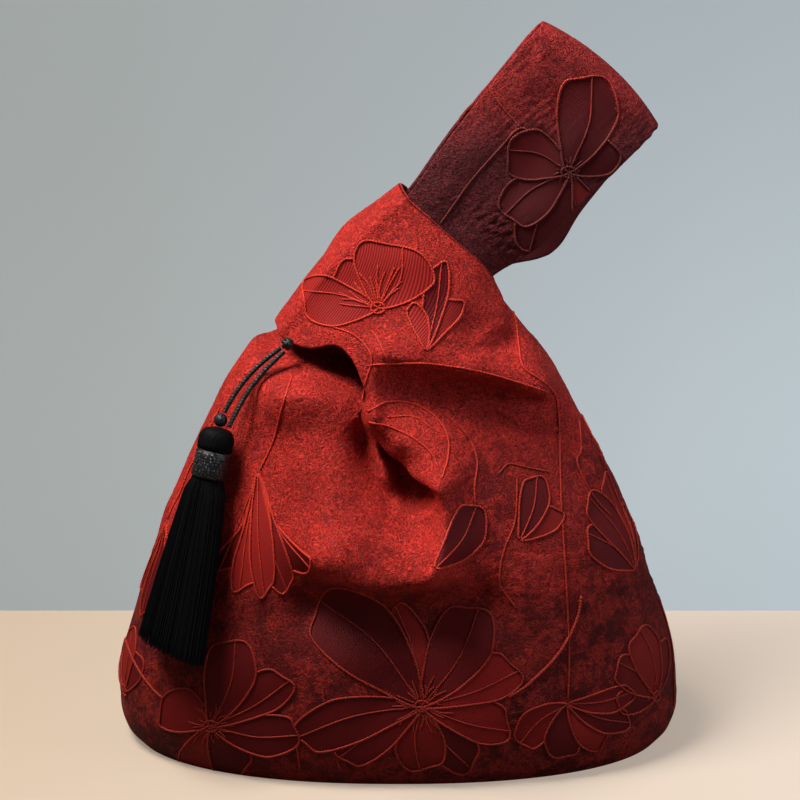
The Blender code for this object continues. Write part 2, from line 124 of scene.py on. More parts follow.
# Tucks of the long loop's root, where it dives under the short loop's hem
FRONT_TUCKS = [
    ([(-46, 159), (-37, 159), (-29, 158), (-22, 156), (-14, 153)], -13.0, 8, 5.0),
    ([(-45, 148), (-37, 149), (-29, 147.5), (-22, 145), (-16, 143)], 5.5, 3.5, 10),
    ([(-31, 153), (-28, 145)], -0.9, 1.6, 1.6),
    ([(-24, 151), (-22.5, 144)], -0.9, 1.5, 1.5),
    ([(-37, 155), (-35, 148)], -0.7, 1.6, 1.6),
]
# Pulls: whose edge, where, by how much and how far round, in millimetres
FRONT_PULLS = [
    ("short", (-23, 163.5), (0.6, 0.0, 4.0), 7.5),
    ("short", (-15.5, 156), (-2.2, -1.5, 0.6), 5.5),
    ("short", (-12, 143), (1.0, -3.5, 0.0), 8.5),
    ("long", (-18, 144), (9.0, 7.0, 0.0), 8.5),
    ("short", (0, 131), (-1.8, -1.0, -2.6), 6.0),
    ("short", (9, 123), (-2.2, -1.0, -2.2), 5.0),
]
BACK_FOLDS = [
    ([(-12, 163), (10, 162), (34, 158), (60, 146)], 7.0, 20, 10),
    ([(2, 146), (30, 143), (56, 134)], -4.0, 8, 12),
    ([(-38, 148), (-33, 124), (-30, 94)], 6.0, 13, 18),
    ([(-12, 138), (-13, 118), (-15, 88)], -5.0, 8, 8),
    ([(16, 132), (22, 108), (24, 76)], 5.0, 9, 11),
]
BACK_CREASES = [
    ([(-8, 161), (12, 159), (36, 154)], 1.2, 5, 2.4),
    ([(-12, 140), (-13, 118), (-14, 100)], -1.4, 3, 4),
]

# Grid of a panel: columns of the long loop, the notch and the short loop, and rows
FRONT_GRID = {"long": 128, "notch": 9, "short": 140, "wall": 180, "long_loop": 19, "short_loop": 20}
BACK_GRID = {"long": 100, "notch": 7, "short": 110, "wall": 140, "long_loop": 15, "short_loop": 16}
CREST_STEPS = 12
ROW_BIAS = 0.95  # below 1 the wall's rows lie closer together higher up
BACK_ASIDE = (0.75, 0.0, -0.66)  # the way the long loop's back strap spreads out

# How the folds fade up a loop: rows that they reach, and how steeply the first span counts
FOLD_REACH = {"long": (2, 1), "short": (5, 2)}

# Smoothing of the cloth: rows beside a loop's root, and the stretched place round the hollow
ROOT_REACH = 16
ROOT_PASSES = 12
ROOT_STEP = 0.7
STRETCH_CENTRE = (2, 117)
STRETCH_REACH = 15
STRETCH_PASSES = 2
STRETCH_STEP = 0.6

# Small waves: stretch upwards, pitch and height in millimetres, step of the seed, number of waves
WAVES = [(1.0, 46, 0.55, 0, 18), (1.0, 17, 0.16, 1, 18)]
PUCKERS = [(1.7, 4.2, 0.11, 2, 30), (1.5, 2.6, 0.06, 3, 30)]
PATCHES = (1.0, 40, 0.5, 5, 18)
CALM_DEPTH = 5 * MM
CALM_HEIGHT = 30

# Where a painted shade, a painted light or a wave changes: the millimetre it starts from, and its reach up
# or down
# Painted shade: cool up the long loop, deeper low down and to the right, where the cloth lies in shade
COOL_PAINTED_SHADE_RISE = (172, 22)
COOL_PAINTED_SHADE_FADE = (232, 28)
DEEP_PAINTED_SHADE_LOW = (90, -22)
DEEP_PAINTED_SHADE_ACROSS = (10, 26)
DEEP_PAINTED_SHADE_BELOW = (140, -24)
# Painted light: petals are warmer and lighter above and to the left, on the lit side
WARM_PAINTED_LIGHT_ABOVE = (85, 20)
WARM_PAINTED_LIGHT_ACROSS = (16, -20)
ROUGH_ACROSS = (12, 20)

HEM_STEPS = 5
LINING_SKIP = 3  # the lining keeps every third row and column of the cloth

# Radii of the corded lines
PETAL_CORD = 0.42 * MM
VEIN_CORD = 0.28 * MM
STAMEN_CORD = 0.30 * MM
CORD_PITCH = 0.38 * MM
CORD_SIDES = 5
CORD_PROUD = 0.55  # share of a cord's radius that its middle stands above the cloth
LINE_PITCH = 1.4
STAMEN_PITCH = 1.1
RING_PITCH = 1.2
RING_RADIUS = 7
CORD_BREAK = 5 * MM  # a corded line ends where the cloth drops away further than this
CORD_LEAST = 4
CORD_TAPER = 3
CORD_TURN = (0.13, 0.31, 0.94)
PETAL_STEPS = 26
PETAL_TIP = 13
PETAL_FLANK = 7
PETAL_WAVES = 5
VEINED_LENGTH = 60  # petals longer than this have a vein
FACING_LIMIT = -0.12
PIXELS_PER_MM = 2.68
BEAD_STEPS = 1.5
BEAD_SWELL = 0.32  # how much a corded line swells and narrows, for its stitches

# Tassel, as in the frame
KNOT_RADIUS = 2.6 * MM
STRAND_RADIUS = 0.9 * MM
STRAND_BOW = 2.2 * MM
STRAND_FOOT = 4.3 * MM
BEAD_RADIUS = 2.6 * MM
CAP_RADIUS = 6.7 * MM
CAP_LENGTH = 8.5 * MM
BAND_RADIUS = 6.6 * MM
BAND_LENGTH = 10.3 * MM
SKIRT_LENGTH = 67 * MM
SKIRT_TOP_RADIUS = 6.3 * MM
SKIRT_END_WIDTH = 31 * MM
SKIRT_END_DEPTH = 13 * MM
SKIRT_FLARE = 0.6
TASSEL_GAP = 0.3 * MM
THREADS = 900
THREAD_RINGS = 14
CORE_RINGS = 15
CORE_SHARE = 0.86  # the core's length, width and depth as shares of the skirt's
TWIST_SIDES = 12
TWIST_PITCH = 2.6 * MM
KNOT_SHARE = 0.27
KNOT_TURNS = (0.0, 1.15, 2.2)  # the way each of the knot's turns is tilted
KNOT_INNER = 0.66
KNOT_STEPS = 40
STRAND_STEPS = 24
STRAND_FULLNESS = 1.05
CAP_DOME = [(0, 0.30), (0.03, 0.50), (0.08, 0.68), (0.18, 0.84), (0.32, 0.94), (0.5, 1.0),
            (0.8, 1.0), (1, 0.97)]
BAND_BARREL = [(0, 0.93), (0.03, 1), (0.3, 0.985), (0.7, 0.985), (0.97, 1), (1, 0.93)]
KNOT_SIDE = Vector((-0.30, -0.93, -0.20)).normalized()
CAP_PLACE = Vector((-67.0, -28.0, 135.0)) * MM
SKIRT_END_PLACE = Vector((-86.5, -46.5, 50.3)) * MM
TASSEL_FACING = Vector((-0.525, -0.851, 0.0))

# Camera: the photograph's view, 800 pixels square
CAMERA_PLACE = Vector((0.0, -0.5662, 0.2899))
CAMERA_PITCH = math.radians(15)
FOCAL_PIXELS = 1500.0
FRAME_PIXELS = 800
VIEW_CENTRE = (398.5, 400.0)

# Colours, as linear red, green and blue
GROUND_DARK = (0.070, 0.0015, 0.003)
GROUND_LIGHT = (0.66, 0.036, 0.024)
PETAL_DARK = (0.060, 0.0015, 0.003)
PETAL_LIGHT = (0.160, 0.006, 0.007)
PETAL_WARM_DARK = (0.150, 0.005, 0.005)
PETAL_WARM_LIGHT = (0.400, 0.019, 0.015)
CORD_DARK = (0.28, 0.010, 0.008)
CORD_LIGHT = (0.78, 0.055, 0.026)
# Tints of the painted shade: cool for the long loop, deeper for low down and the right
COOL_PAINTED_SHADE_TINT = (0.27, 0.72, 1.25)
DEEP_PAINTED_SHADE_TINT = (0.40, 0.42, 0.46)
LINING_DARK = (0.050, 0.003, 0.006)
LINING_LIGHT = (0.110, 0.006, 0.010)
BLACK_DARK = (0.003, 0.003, 0.0035)
BLACK_CORD = (0.014, 0.014, 0.015)
BLACK_SILK = (0.003, 0.003, 0.0035)
BAND_DARK = (0.007, 0.0075, 0.008)
BAND_GLINT = (0.11, 0.112, 0.115)
BOARD_DARK = (0.20, 0.17, 0.13)
BOARD_LIGHT = (0.42, 0.37, 0.30)
# Floor and wall colours with painted light: each right-hand colour is painted lighter than its left
FLOOR_LEFT_PAINTED_DIM = (0.30, 0.235, 0.18)
FLOOR_RIGHT_PAINTED_LIGHT = (0.42, 0.355, 0.30)
WALL_LEFT_PAINTED_DIM = (0.22, 0.24, 0.24)
WALL_RIGHT_PAINTED_LIGHT = (0.33, 0.38, 0.41)
ROOM_LIGHT = (0.90, 0.95, 1.0)
ROOM_STRENGTH = 0.12

# Stage: how much of its own light it adds for the camera, and how bright it is to all else
STAGE_GLOW = 0.9
STAGE_BOUNCE = 0.5
STAGE_SIZE = 4.0
WALL_PLACE = (0, 0.117, 1.99)
# Painted light on the stage: lighter to the right, and on the wall dimmer higher up
STAGE_PAINTED_LIGHT_SPAN = (-0.25, 0.30)  # where across the stage its left colour ends and its right one starts
WALL_PAINTED_LIGHT_FALL = (-1.99, -1.62, 1.10, 0.66)  # two heights on the wall, and its brightness at each

# Lamps: name, place, point they shine at, size, watts and colour
LAMPS = [
    ("key", (-0.34, -0.16, 0.83), (0, 0, 0.12), 0.32, 11.5, (1.0, 0.96, 0.90)),
    ("side", (0.75, -0.25, 0.45), (0, 0, 0.14), 0.5, 2.6, (0.80, 0.88, 1.0)),
    ("rear", (-0.35, 0.60, 0.55), (0, 0, 0.14), 0.5, 2.2, (0.95, 0.97, 1.0)),
]


def smooth_step(t):
    """0 below 0, 1 above 1, with a soft start and end."""
    t = np.clip(t, 0.0, 1.0)
    return t * t * (3 - 2 * t)


def rise(value, start, reach):
    """0 up to a start and 1 a reach beyond it; a reach below zero rises the other way."""
    return smooth_step((value - start) / reach)


def spline(points, t):
    """The Catmull-Rom curve through rows of points, at each t from 0 to the number of spans."""
    points = np.asarray(points, float)
    t = np.asarray(t, float)
    count = len(points)
    ahead = 2 * points[0] - points[1]
    behind = 2 * points[-1] - points[-2]
    padded = np.concatenate([ahead[None], points, behind[None]])
    span = np.clip(np.floor(t).astype(int), 0, count - 2)
    s = (t - span).reshape(t.shape + (1,) * (points.ndim - 1))
    a, b, c, d = (padded[span + step] for step in range(4))
    return 0.5 * (2 * b + (c - a) * s + (2 * a - 5 * b + 4 * c - d) * s ** 2
                  + (3 * b - a - 3 * c + d) * s ** 3)


def wall_points(u, height, side):
    """Points of the body's wall; side is -1 for the front and 1 for the back."""
    knots = [knot[0] * MM for knot in OUTLINE]
    place = np.interp(height, knots, range(len(knots)))
    shares = spline([knot[1:] for knot in OUTLINE], place)
    angle = u * math.pi / 2
    power = 2 / ROUNDNESS
    across = BODY_WIDTH / 2 * shares[..., 0] * np.sign(u) * np.abs(np.sin(angle)) ** power
    out = BODY_DEPTH / 2 * shares[..., 1] * np.abs(np.cos(angle)) ** power
    return np.stack([across - shares[..., 2] * MM, side * out, height + 0 * u], axis=-1)


def wall_top(u):
    """Height at which the wall ends and a loop begins."""
    mouth = BODY_HEIGHT - MOUTH_DROP
    left = MOUTH_DROP * np.maximum(0, LONG_LOOP_EDGE - u) / (LONG_LOOP_EDGE + 1)
    rise = MOUTH_DROP + RIGHT_SEAM_RISE
    right = rise * np.maximum(0, u - SHORT_LOOP_EDGE) / (1 - SHORT_LOOP_EDGE)
    return mouth + left + right


def fold_lift(across, up, folds):
    """How far folds push the cloth out, at places in millimetres."""
    total = np.zeros_like(across)
    for path, lift, reach_left, reach_right in folds:
        nearest = np.full_like(across, 1e9)
        turn = np.zeros_like(across)
        for start, end in zip(path, path[1:]):
            along_x, along_z = end[0] - start[0], end[1] - start[1]
            away_x, away_z = across - start[0], up - start[1]
            length = math.hypot(along_x, along_z)
            share = np.clip((away_x * along_x + away_z * along_z) / length ** 2, 0, 1)
            distance = np.hypot(away_x - along_x * share, away_z - along_z * share)
            side = (along_x * away_z - along_z * away_x) / (length * np.maximum(distance, 0.001))
            closer = distance < nearest
            nearest = np.where(closer, distance, nearest)
            turn = np.where(closer, np.clip(side, -1, 1), turn)
        reach = reach_right + (reach_left - reach_right) * (1 + turn) / 2
        total += lift * np.exp(-((nearest / reach) ** 2))
    return total * MM


def grid_quads(grid):
    """Quads of a grid of vertex numbers."""
    corners = (grid[:-1, :-1], grid[:-1, 1:], grid[1:, 1:], grid[1:, :-1])
    return np.stack(corners, axis=-1).reshape(-1, 4)


def ring_quads(rings):
    """Quads of rings of vertex numbers, each ring closed on itself."""
    return grid_quads(np.concatenate([rings, rings[:, :1]], axis=1))


def circle(sides):
    """Angles once round, one for each side."""
    return np.arange(sides) * 2 * math.pi / sides


def even_path(path, pitch, least):
    """A path's places spaced evenly, about a pitch apart, and how far along each one is."""
    length = np.concatenate([[0], np.linalg.norm(np.diff(path, axis=0), axis=1).cumsum()])
    even = np.linspace(0, length[-1], max(least, int(length[-1] / pitch)))
    places = [np.interp(even, length, path[:, axis]) for axis in range(3)]
    return np.stack(places, axis=1), even


def tube_rings(path, reference, turns, width):
    """Rings of points round a path; the reference direction sets where each ring starts."""
    ahead = np.gradient(path, axis=0)
    ahead /= np.maximum(np.linalg.norm(ahead, axis=1), 1e-12)[:, None]
    across = np.cross(ahead, reference)
    across /= np.linalg.norm(across, axis=1)[:, None]
    deep = np.cross(ahead, across)
    return (path[:, None] + across[:, None] * (np.cos(turns) * width)[..., None]
            + deep[:, None] * (np.sin(turns) * width)[..., None])


def station_row(stations, share, side):
    """Points across a loop at every station, at shares of the way from its outer edge."""
    rows = []
    for outer, middle, inner in np.asarray(stations, float):
        point = (np.outer((1 - share) * (1 - 2 * share), outer)
                 + np.outer(4 * share * (1 - share), middle)
                 + np.outer(share * (2 * share - 1), inner))
        rows.append(point * (1, side, 1) * MM)
    return np.array(rows)


def loop_rows(u, share, side, group, steps):
    """Points up a loop's columns: an array of rows by columns, and each row's span."""
    stations, crest = ((LONG_STATIONS, LONG_CREST) if group == "long"
                       else (SHORT_STATIONS, SHORT_CREST))
    top = wall_top(u)
    path = [wall_points(u, ROOT_HEIGHT * top, side), wall_points(u, top, side)]
    path = np.concatenate([path, station_row(stations, share, side)])
    if group == "long" and side > 0:
        aside = np.outer(share ** 3, BACK_ASIDE) * LOOP_BACK_SPREAD
        path[6] += aside
        path[7] += aside * 0.6
    spans = np.arange(1, len(stations) * steps + 1) / steps
    points = spline(path, 1 + spans)
    crest = np.array([[(x, 0, z) for x, z in crest]], float)
    peak = station_row(crest, share, side)[0]
    last = points[-1]
    rows = [points]
    for step in range(1, CREST_STEPS + 1):
        angle = math.pi / 2 * step / CREST_STEPS
        row = last + (peak - last) * math.sin(angle)
        row[:, 1] = side * np.abs(last[:, 1]) * math.cos(angle)
        rows.append(row[None])
    spans = np.concatenate([spans, np.full(CREST_STEPS, spans[-1] + 1)])
    return np.concatenate(rows), spans


def ripples(across, up, size, seed, count):
    """Smooth uneven waves about 1 high, from sine waves in many directions."""
    random = np.random.default_rng(seed)
    total = np.zeros_like(across)
    for _ in range(count):
        angle = random.uniform(0, math.pi)
        pitch = size * random.uniform(0.6, 1.8)
        phase = random.uniform(0, 2 * math.pi)
        total += np.sin(2 * math.pi * (across * math.cos(angle) + up * math.sin(angle)) / pitch
                        + phase)
    return total / math.sqrt(count / 2)


def add_ripples(across, up, seed, waves):
    """Several sets of waves together."""
    return sum(ripples(across, up * stretch, pitch, seed + step, count) * height
               for stretch, pitch, height, step, count in waves)


class Panel:
    """The outer surface of a front or back panel as one grid of points with its free edges."""

    def __init__(self, side, grid):
        self.side = side
        self.grid = grid
        self.make_columns()
        self.make_faces()
        self.measure()
        self.fold()

    def make_columns(self):
        """The wall's points, then each loop's, with where each lies across and along the cloth."""
        grid, side = self.grid, self.side
        long_share = 1 - (1 - np.arange(grid["long"] + 1) / grid["long"]) ** COLUMN_BIAS
        short_share = (np.arange(grid["short"] + 1) / grid["short"]) ** COLUMN_BIAS
        self.u_long = -1 + (LONG_LOOP_EDGE + 1) * long_share
        self.u_short = SHORT_LOOP_EDGE + (1 - SHORT_LOOP_EDGE) * short_share
        notch = np.linspace(LONG_LOOP_EDGE, SHORT_LOOP_EDGE, grid["notch"] + 1)[1:-1]
        self.u = np.concatenate([self.u_long, notch, self.u_short])
        rows = np.linspace(0, 1, grid["wall"] + 1) ** ROW_BIAS
        u, share = np.meshgrid(self.u, rows)
        wall = wall_points(u, share * wall_top(u), side)
        self.long_loop, self.long_spans = loop_rows(
            self.u_long, long_share, side, "long", grid["long_loop"])
        self.short_loop, self.short_spans = loop_rows(
            self.u_short, 1 - short_share, side, "short", grid["short_loop"])
        self.parts = {"wall": wall, "long": self.long_loop, "short": self.short_loop}
        self.first = {}
        count = 0
        for name, part in self.parts.items():
            self.first[name] = count
            count += part.shape[0] * part.shape[1]
        self.points = np.concatenate([part.reshape(-1, 3) for part in self.parts.values()])

    def index(self, name):
        """Vertex numbers of a part, as rows by columns, with its root row for a loop."""
        shape = self.parts[name].shape[:2]
        numbers = self.first[name] + np.arange(shape[0] * shape[1]).reshape(shape)
        if name == "wall":
            return numbers
        return np.concatenate([self.index("wall")[-1:, self.columns(name)], numbers])

    def columns(self, loop):
        """The wall's columns that go on into a loop."""
        count = len(self.u)
        return slice(len(self.u_long)) if loop == "long" else slice(count - len(self.u_short), count)

    def make_faces(self):
        """Quads of all parts, facing out."""
        self.faces = np.concatenate([grid_quads(self.index(name)) for name in self.parts])
        if self.side > 0:
            self.faces = self.faces[:, ::-1]

    def weights(self):
        """How much of the folds each point takes: less near side seams and up the loops."""
        wall = np.broadcast_to(self.u, self.parts["wall"].shape[:2])
        fade = [smooth_step((1 - np.abs(wall)) / SEAM_FADE)]
        for u, spans, (reach, first) in ((self.u_long, self.long_spans, FOLD_REACH["long"]),
                                         (self.u_short, self.short_spans, FOLD_REACH["short"])):
            rows = np.where(spans < 1, spans * first, spans + first - 1)
            near = 1 - smooth_step(rows / reach)
            fade.append(np.outer(near, smooth_step((1 - np.abs(u)) / SEAM_FADE)))
        return np.concatenate([part.reshape(-1) for part in fade])

    def fold(self):
        """Pushes the folds, creases and small wrinkles into the points."""
        across, up = self.points[:, 0] / MM, self.points[:, 2] / MM
        folds = FRONT_FOLDS + FRONT_CREASES if self.side < 0 else BACK_FOLDS + BACK_CREASES
        weight = self.weights()
        self.points[:, 1] += self.side * fold_lift(across, up, folds) * weight
        if self.side < 0:
            self.points[:, 1] += self.hollow(across, up)
            tucked = self.group_mask("long")
            self.points[:, 1] += self.side * fold_lift(across, up, FRONT_TUCKS) * tucked
            for group, centre, move, reach in FRONT_PULLS:
                near = np.hypot(across - centre[0], up - centre[1]) / reach
                pull = np.exp(-(near ** 2)) * self.group_mask(group)
                self.points += pull[:, None] * np.array(move) * MM
            self.relax(across, up)
        self.soften_roots()
        self.normals = self.find_normals()
        self.petals = np.zeros(len(self.points))
        # Painted shade for the cloth's colour
        self.painted_shade = self.find_painted_shade(across, up)

    def find_painted_shade(self, across, up):
        """Painted shade on the cloth: a cool share up the long loop, and a deeper share low down and to the
        right.
        """
        loop = np.zeros(len(self.points))
        loop[self.index("long")[1:]] = 1
        loop *= rise(up, *COOL_PAINTED_SHADE_RISE)
        loop = loop * (1 - 0.55 * rise(up, *COOL_PAINTED_SHADE_FADE))
        low = 0.90 * rise(up, *DEEP_PAINTED_SHADE_LOW)
        right = 0.58 * rise(across, *DEEP_PAINTED_SHADE_ACROSS) * rise(up, *DEEP_PAINTED_SHADE_BELOW)
        return np.stack([loop, np.maximum(low, right), 0 * loop], axis=1)

    def wrinkle(self):
        """Adds the small uneven waves and puckers, which petals have less of."""
        across, up = self.points[:, 0] / MM, self.points[:, 2] / MM
        seed = 3 if self.side < 0 else 8
        calm = np.clip(np.abs(self.points[:, 1]) / CALM_DEPTH, 0, 1) * smooth_step(up / CALM_HEIGHT)
        patches = np.clip(0.6 + add_ripples(across, up, seed, [PATCHES]), 0, 1.4)
        patches *= 1 - np.clip(self.petals * 3, 0, 0.8)
        patches *= 0.3 + 0.8 * rise(across, *ROUGH_ACROSS)
        puckers = add_ripples(across, up, seed, PUCKERS)
        waves = add_ripples(across, up, seed, WAVES)
        self.points += self.normals * ((waves + puckers * patches) * MM * calm)[:, None]
        self.normals = self.find_normals()

    def group_mask(self, group):
        """1 for the points of a loop and of the wall below it, 0 elsewhere, blending at the notch."""
        mask = np.zeros(len(self.points))
        blend = np.clip((SHORT_LOOP_EDGE - self.u) / (SHORT_LOOP_EDGE - LONG_LOOP_EDGE), 0, 1)
        share = blend if group == "long" else 1 - blend
        grid = self.index("wall")
        mask[grid] = np.broadcast_to(share, grid.shape)
        mask[self.index(group)[1:]] = 1
        return mask

    def hollow(self, across, up):
        """How far in the hollow under the ear-shaped fold takes the cloth."""
        places = np.stack([across, up], axis=1)
        inside = inside_outline(places, np.array(FRONT_HOLLOW))
        closed = FRONT_HOLLOW + FRONT_HOLLOW[:1]
        edge = np.sqrt(-np.log(np.maximum(fold_lift(across, up, [(closed, 1 / MM, 1, 1)]), 1e-30)))
        edge = np.where(inside, edge, -edge)
        mask = self.group_mask("short")
        return HOLLOW_DEPTH * MM * smooth_step(edge / HOLLOW_EDGE + 0.25) * mask

    def relax(self, across, up):
        """Evens out the stretched cloth round the hollow."""
        grid = self.index("wall")
        away = np.hypot(across - STRETCH_CENTRE[0], up - STRETCH_CENTRE[1]) / STRETCH_REACH
        near = np.exp(-away ** 4)[grid[1:-1, 1:-1]][..., None]
        block = self.points[grid]
        for _ in range(STRETCH_PASSES):
            mean = (block[:-2, 1:-1] + block[2:, 1:-1] + block[1:-1, :-2] + block[1:-1, 2:]) / 4
            block[1:-1, 1:-1] += (mean - block[1:-1, 1:-1]) * near * STRETCH_STEP
        self.points[grid] = block

    def soften_roots(self):
        """Smooths the bend where each loop leaves the wall."""
        root = self.parts["wall"].shape[0] - 1
        for name in ("long", "short"):
            wall = self.index("wall")[:-1, self.columns(name)]
            near = np.concatenate([wall, self.index(name)])[root - ROOT_REACH:root + ROOT_REACH + 1]
            for _ in range(ROOT_PASSES):
                block = self.points[near]
                middle = (block[:-2] + block[2:]) / 2
                blend = np.sin(np.linspace(0, math.pi, len(middle)))[:, None, None] * ROOT_STEP
                block[1:-1] += (middle - block[1:-1]) * blend
                self.points[near] = block

    def find_normals(self):
        """Outward direction at each point."""
        corners = self.points[self.faces]
        facing = np.cross(corners[:, 2] - corners[:, 0], corners[:, 3] - corners[:, 1])
        normals = np.zeros_like(self.points)
        for corner in range(4):
            np.add.at(normals, self.faces[:, corner], facing)
        seam = np.abs(self.points[:, 1]) <= CLOTH_GAP * 0.6
        normals[seam, 1] *= 0.2
        return normals / np.maximum(np.linalg.norm(normals, axis=1), 1e-12)[:, None]

    def measure(self):
        """Each point's place on the cloth: metres across from the notch and up from the base."""
        self.cloth = np.zeros((len(self.points), 3))
        height = np.zeros(self.parts["wall"].shape[1])
        for name in self.parts:
            grid = self.index(name)
            points = self.points[grid]
            rise = np.linalg.norm(np.diff(points, axis=0), axis=2).cumsum(axis=0)
            rise = np.concatenate([np.zeros((1, rise.shape[1])), rise])
            run = np.linalg.norm(np.diff(points, axis=1), axis=2).cumsum(axis=1)
            run = np.concatenate([np.zeros((run.shape[0], 1)), run], axis=1)
            if name == "wall":
                middle = len(self.u_long)
                run -= run[:, middle:middle + 1]
                height, across = rise[-1], run[-1]
                start = 0
            else:
                columns = self.columns(name)
                inner = run.shape[1] - 1 if name == "long" else 0
                run = run - run[:, inner:inner + 1] + across[columns][inner]
                rise = rise + height[columns]
                start = 1
            self.cloth[grid[start:], 0] = run[start:]
            self.cloth[grid[start:], 1] = rise[start:]

    def hems(self):
        """The free edges as rows of vertex numbers, with the row of the cloth next to each."""
        found = []
        for name in ("long", "short"):
            grid = self.index(name)
            found.append((grid[:, 0], grid[:, 1]))
            found.append((grid[:, -1], grid[:, -2]))
        wall = self.index("wall")
        mouth = slice(len(self.u_long) - 1, len(self.u) - len(self.u_short) + 1)
        found.append((wall[-1, mouth], wall[-2, mouth]))
        return found


def add_mesh(name, points, faces, material, body):
    """A smooth mesh object riding on a body."""
    mesh = bpy.data.meshes.new(name)
    mesh.from_pydata([tuple(point) for point in points], [], [tuple(face) for face in faces])
    mesh.materials.append(material)
    mesh.polygons.foreach_set("use_smooth", [True] * len(mesh.polygons))
    mesh.update()
    made = bpy.data.objects.new(name, mesh)
    bpy.context.collection.objects.link(made)
    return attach(made, body)


def add_values(obj, name, values, kind):
    """Stores a number, or a place, for each vertex of a mesh."""
    attribute = obj.data.attributes.new(name, kind, "POINT")
    field = "value" if kind == "FLOAT" else "vector"
    attribute.data.foreach_set(field, np.asarray(values, np.float32).ravel())


def hem_rows(panel, row, neighbour):
    """Rings of a rolled edge along a free edge, from the outer surface round to the inner one."""
    edge = panel.points[row]
    normal = panel.normals[row]
    away = edge - panel.points[neighbour]
    away -= normal * (away * normal).sum(axis=1)[:, None]
    away /= np.maximum(np.linalg.norm(away, axis=1), 1e-9)[:, None]
    rings = []
    for step in range(1, HEM_STEPS + 1):
        angle = math.pi * step / HEM_STEPS
        out = away * HEM_RADIUS * math.sin(angle)
        rings.append(edge + out - normal * HEM_RADIUS * (1 - math.cos(angle)))
    return rings


def build_panel_cloth(panel, name, material):
    """The panel's outer cloth with its edges rolled in."""
    points = [panel.points]
    faces = list(panel.faces)
    cloth = [panel.cloth]
    petals = [panel.petals]
    painted_shade = [panel.painted_shade]
    count = len(panel.points)
    for row, neighbour in panel.hems():
        last = np.asarray(row)
        for ring in hem_rows(panel, row, neighbour):
            numbers = count + np.arange(len(ring))
            count += len(ring)
            points.append(ring)
            cloth.append(panel.cloth[row])
            petals.append(panel.petals[row] * 0)
            painted_shade.append(panel.painted_shade[row])
            faces += list(grid_quads(np.stack([last, numbers])))
            last = numbers
    made = add_mesh(name, np.concatenate(points), faces, material, "bag")
    add_values(made, "cloth_place", np.concatenate(cloth), "FLOAT_VECTOR")
    add_values(made, "petal", np.concatenate(petals), "FLOAT")
    # The painted shade is stored for the cloth's colour
    add_values(made, "painted_shade", np.concatenate(painted_shade), "FLOAT_VECTOR")
    return made


def build_panel_lining(panel, name, material, depth):
    """The panel's inner surface, a little inside the cloth."""
    inner = panel.points - panel.normals * depth
    faces = []
    for part in panel.parts:
        grid = panel.index(part)
        rows, columns = (np.unique(np.append(np.arange(0, count, LINING_SKIP), count - 1))
                         for count in grid.shape)
        faces.append(grid_quads(grid[rows][:, columns]))
    faces = np.concatenate(faces)
    if panel.side < 0:
        faces = faces[:, ::-1]
    used, faces = np.unique(faces, return_inverse=True)
    made = add_mesh(name, inner[used], faces.reshape(-1, 4), material, "bag")
    add_values(made, "cloth_place", panel.cloth[used], "FLOAT_VECTOR")
    return made


# Flowers of the front, placed by the photograph's pixels: hub, petals as (angle, length, half
# width, bend), and stamens as (first angle, last angle, length, count). Angles turn from right
# towards down, in degrees.
FRONT_FLOWERS = [
    ((258, 474), [(87, 122, 12, 0.0), (99, 118, 16, -0.12), (76, 120, 16, 0.12), (112, 104, 18, -0.34),
                  (61, 108, 15, 0.34)], None),
    ((211, 726), [(286, 89, 26, 0.08), (330, 91, 21, -0.06), (6, 88, 21, 0.08), (59, 57, 20, 0.0),
                  (113, 53, 18, 0.0), (203, 54, 23, 0.1)], (0, 345, 20, 19)),
    ((422, 706), [(226, 147, 38, 0.06), (300, 113, 31, 0.05), (255, 104, 18, 0.1), (340, 103, 24, -0.08),
                  (16, 91, 22, -0.05), (166, 128, 24, 0.05), (148, 97, 20, 0.0), (92, 64, 25, 0.0),
                  (52, 79, 21, 0.0)], (0, 345, 28, 26)),
    ((568, 704), [(349, 66, 12, 0.14), (17, 64, 14, 0.1), (52, 54, 16, 0.0), (99, 54, 18, 0.0),
                  (141, 62, 17, 0.1)], None),
    ((378, 308), [(292, 66, 42, 0.0), (193, 77, 24, -0.12), (228, 58, 18, 0.1)], (186, 318, 40, 15)),
    ((426, 350), [(252, 48, 9, 0.1), (280, 89, 12, 0.0), (304, 60, 12, -0.1)], None),
    ((568, 172), [(284, 99, 31, 0.08), (200, 64, 26, 0.1), (146, 76, 24, 0.0), (116, 88, 27, 0.0),
                  (335, 54, 19, 0.0), (70, 66, 18, 0.0)], (0, 345, 16, 17)),
    ((436, 568), [(303, 74, 19, 0.16)], None),
    ((520, 540), [(285, 66, 15, 0.1), (325, 50, 12, 0.0)], None),
]
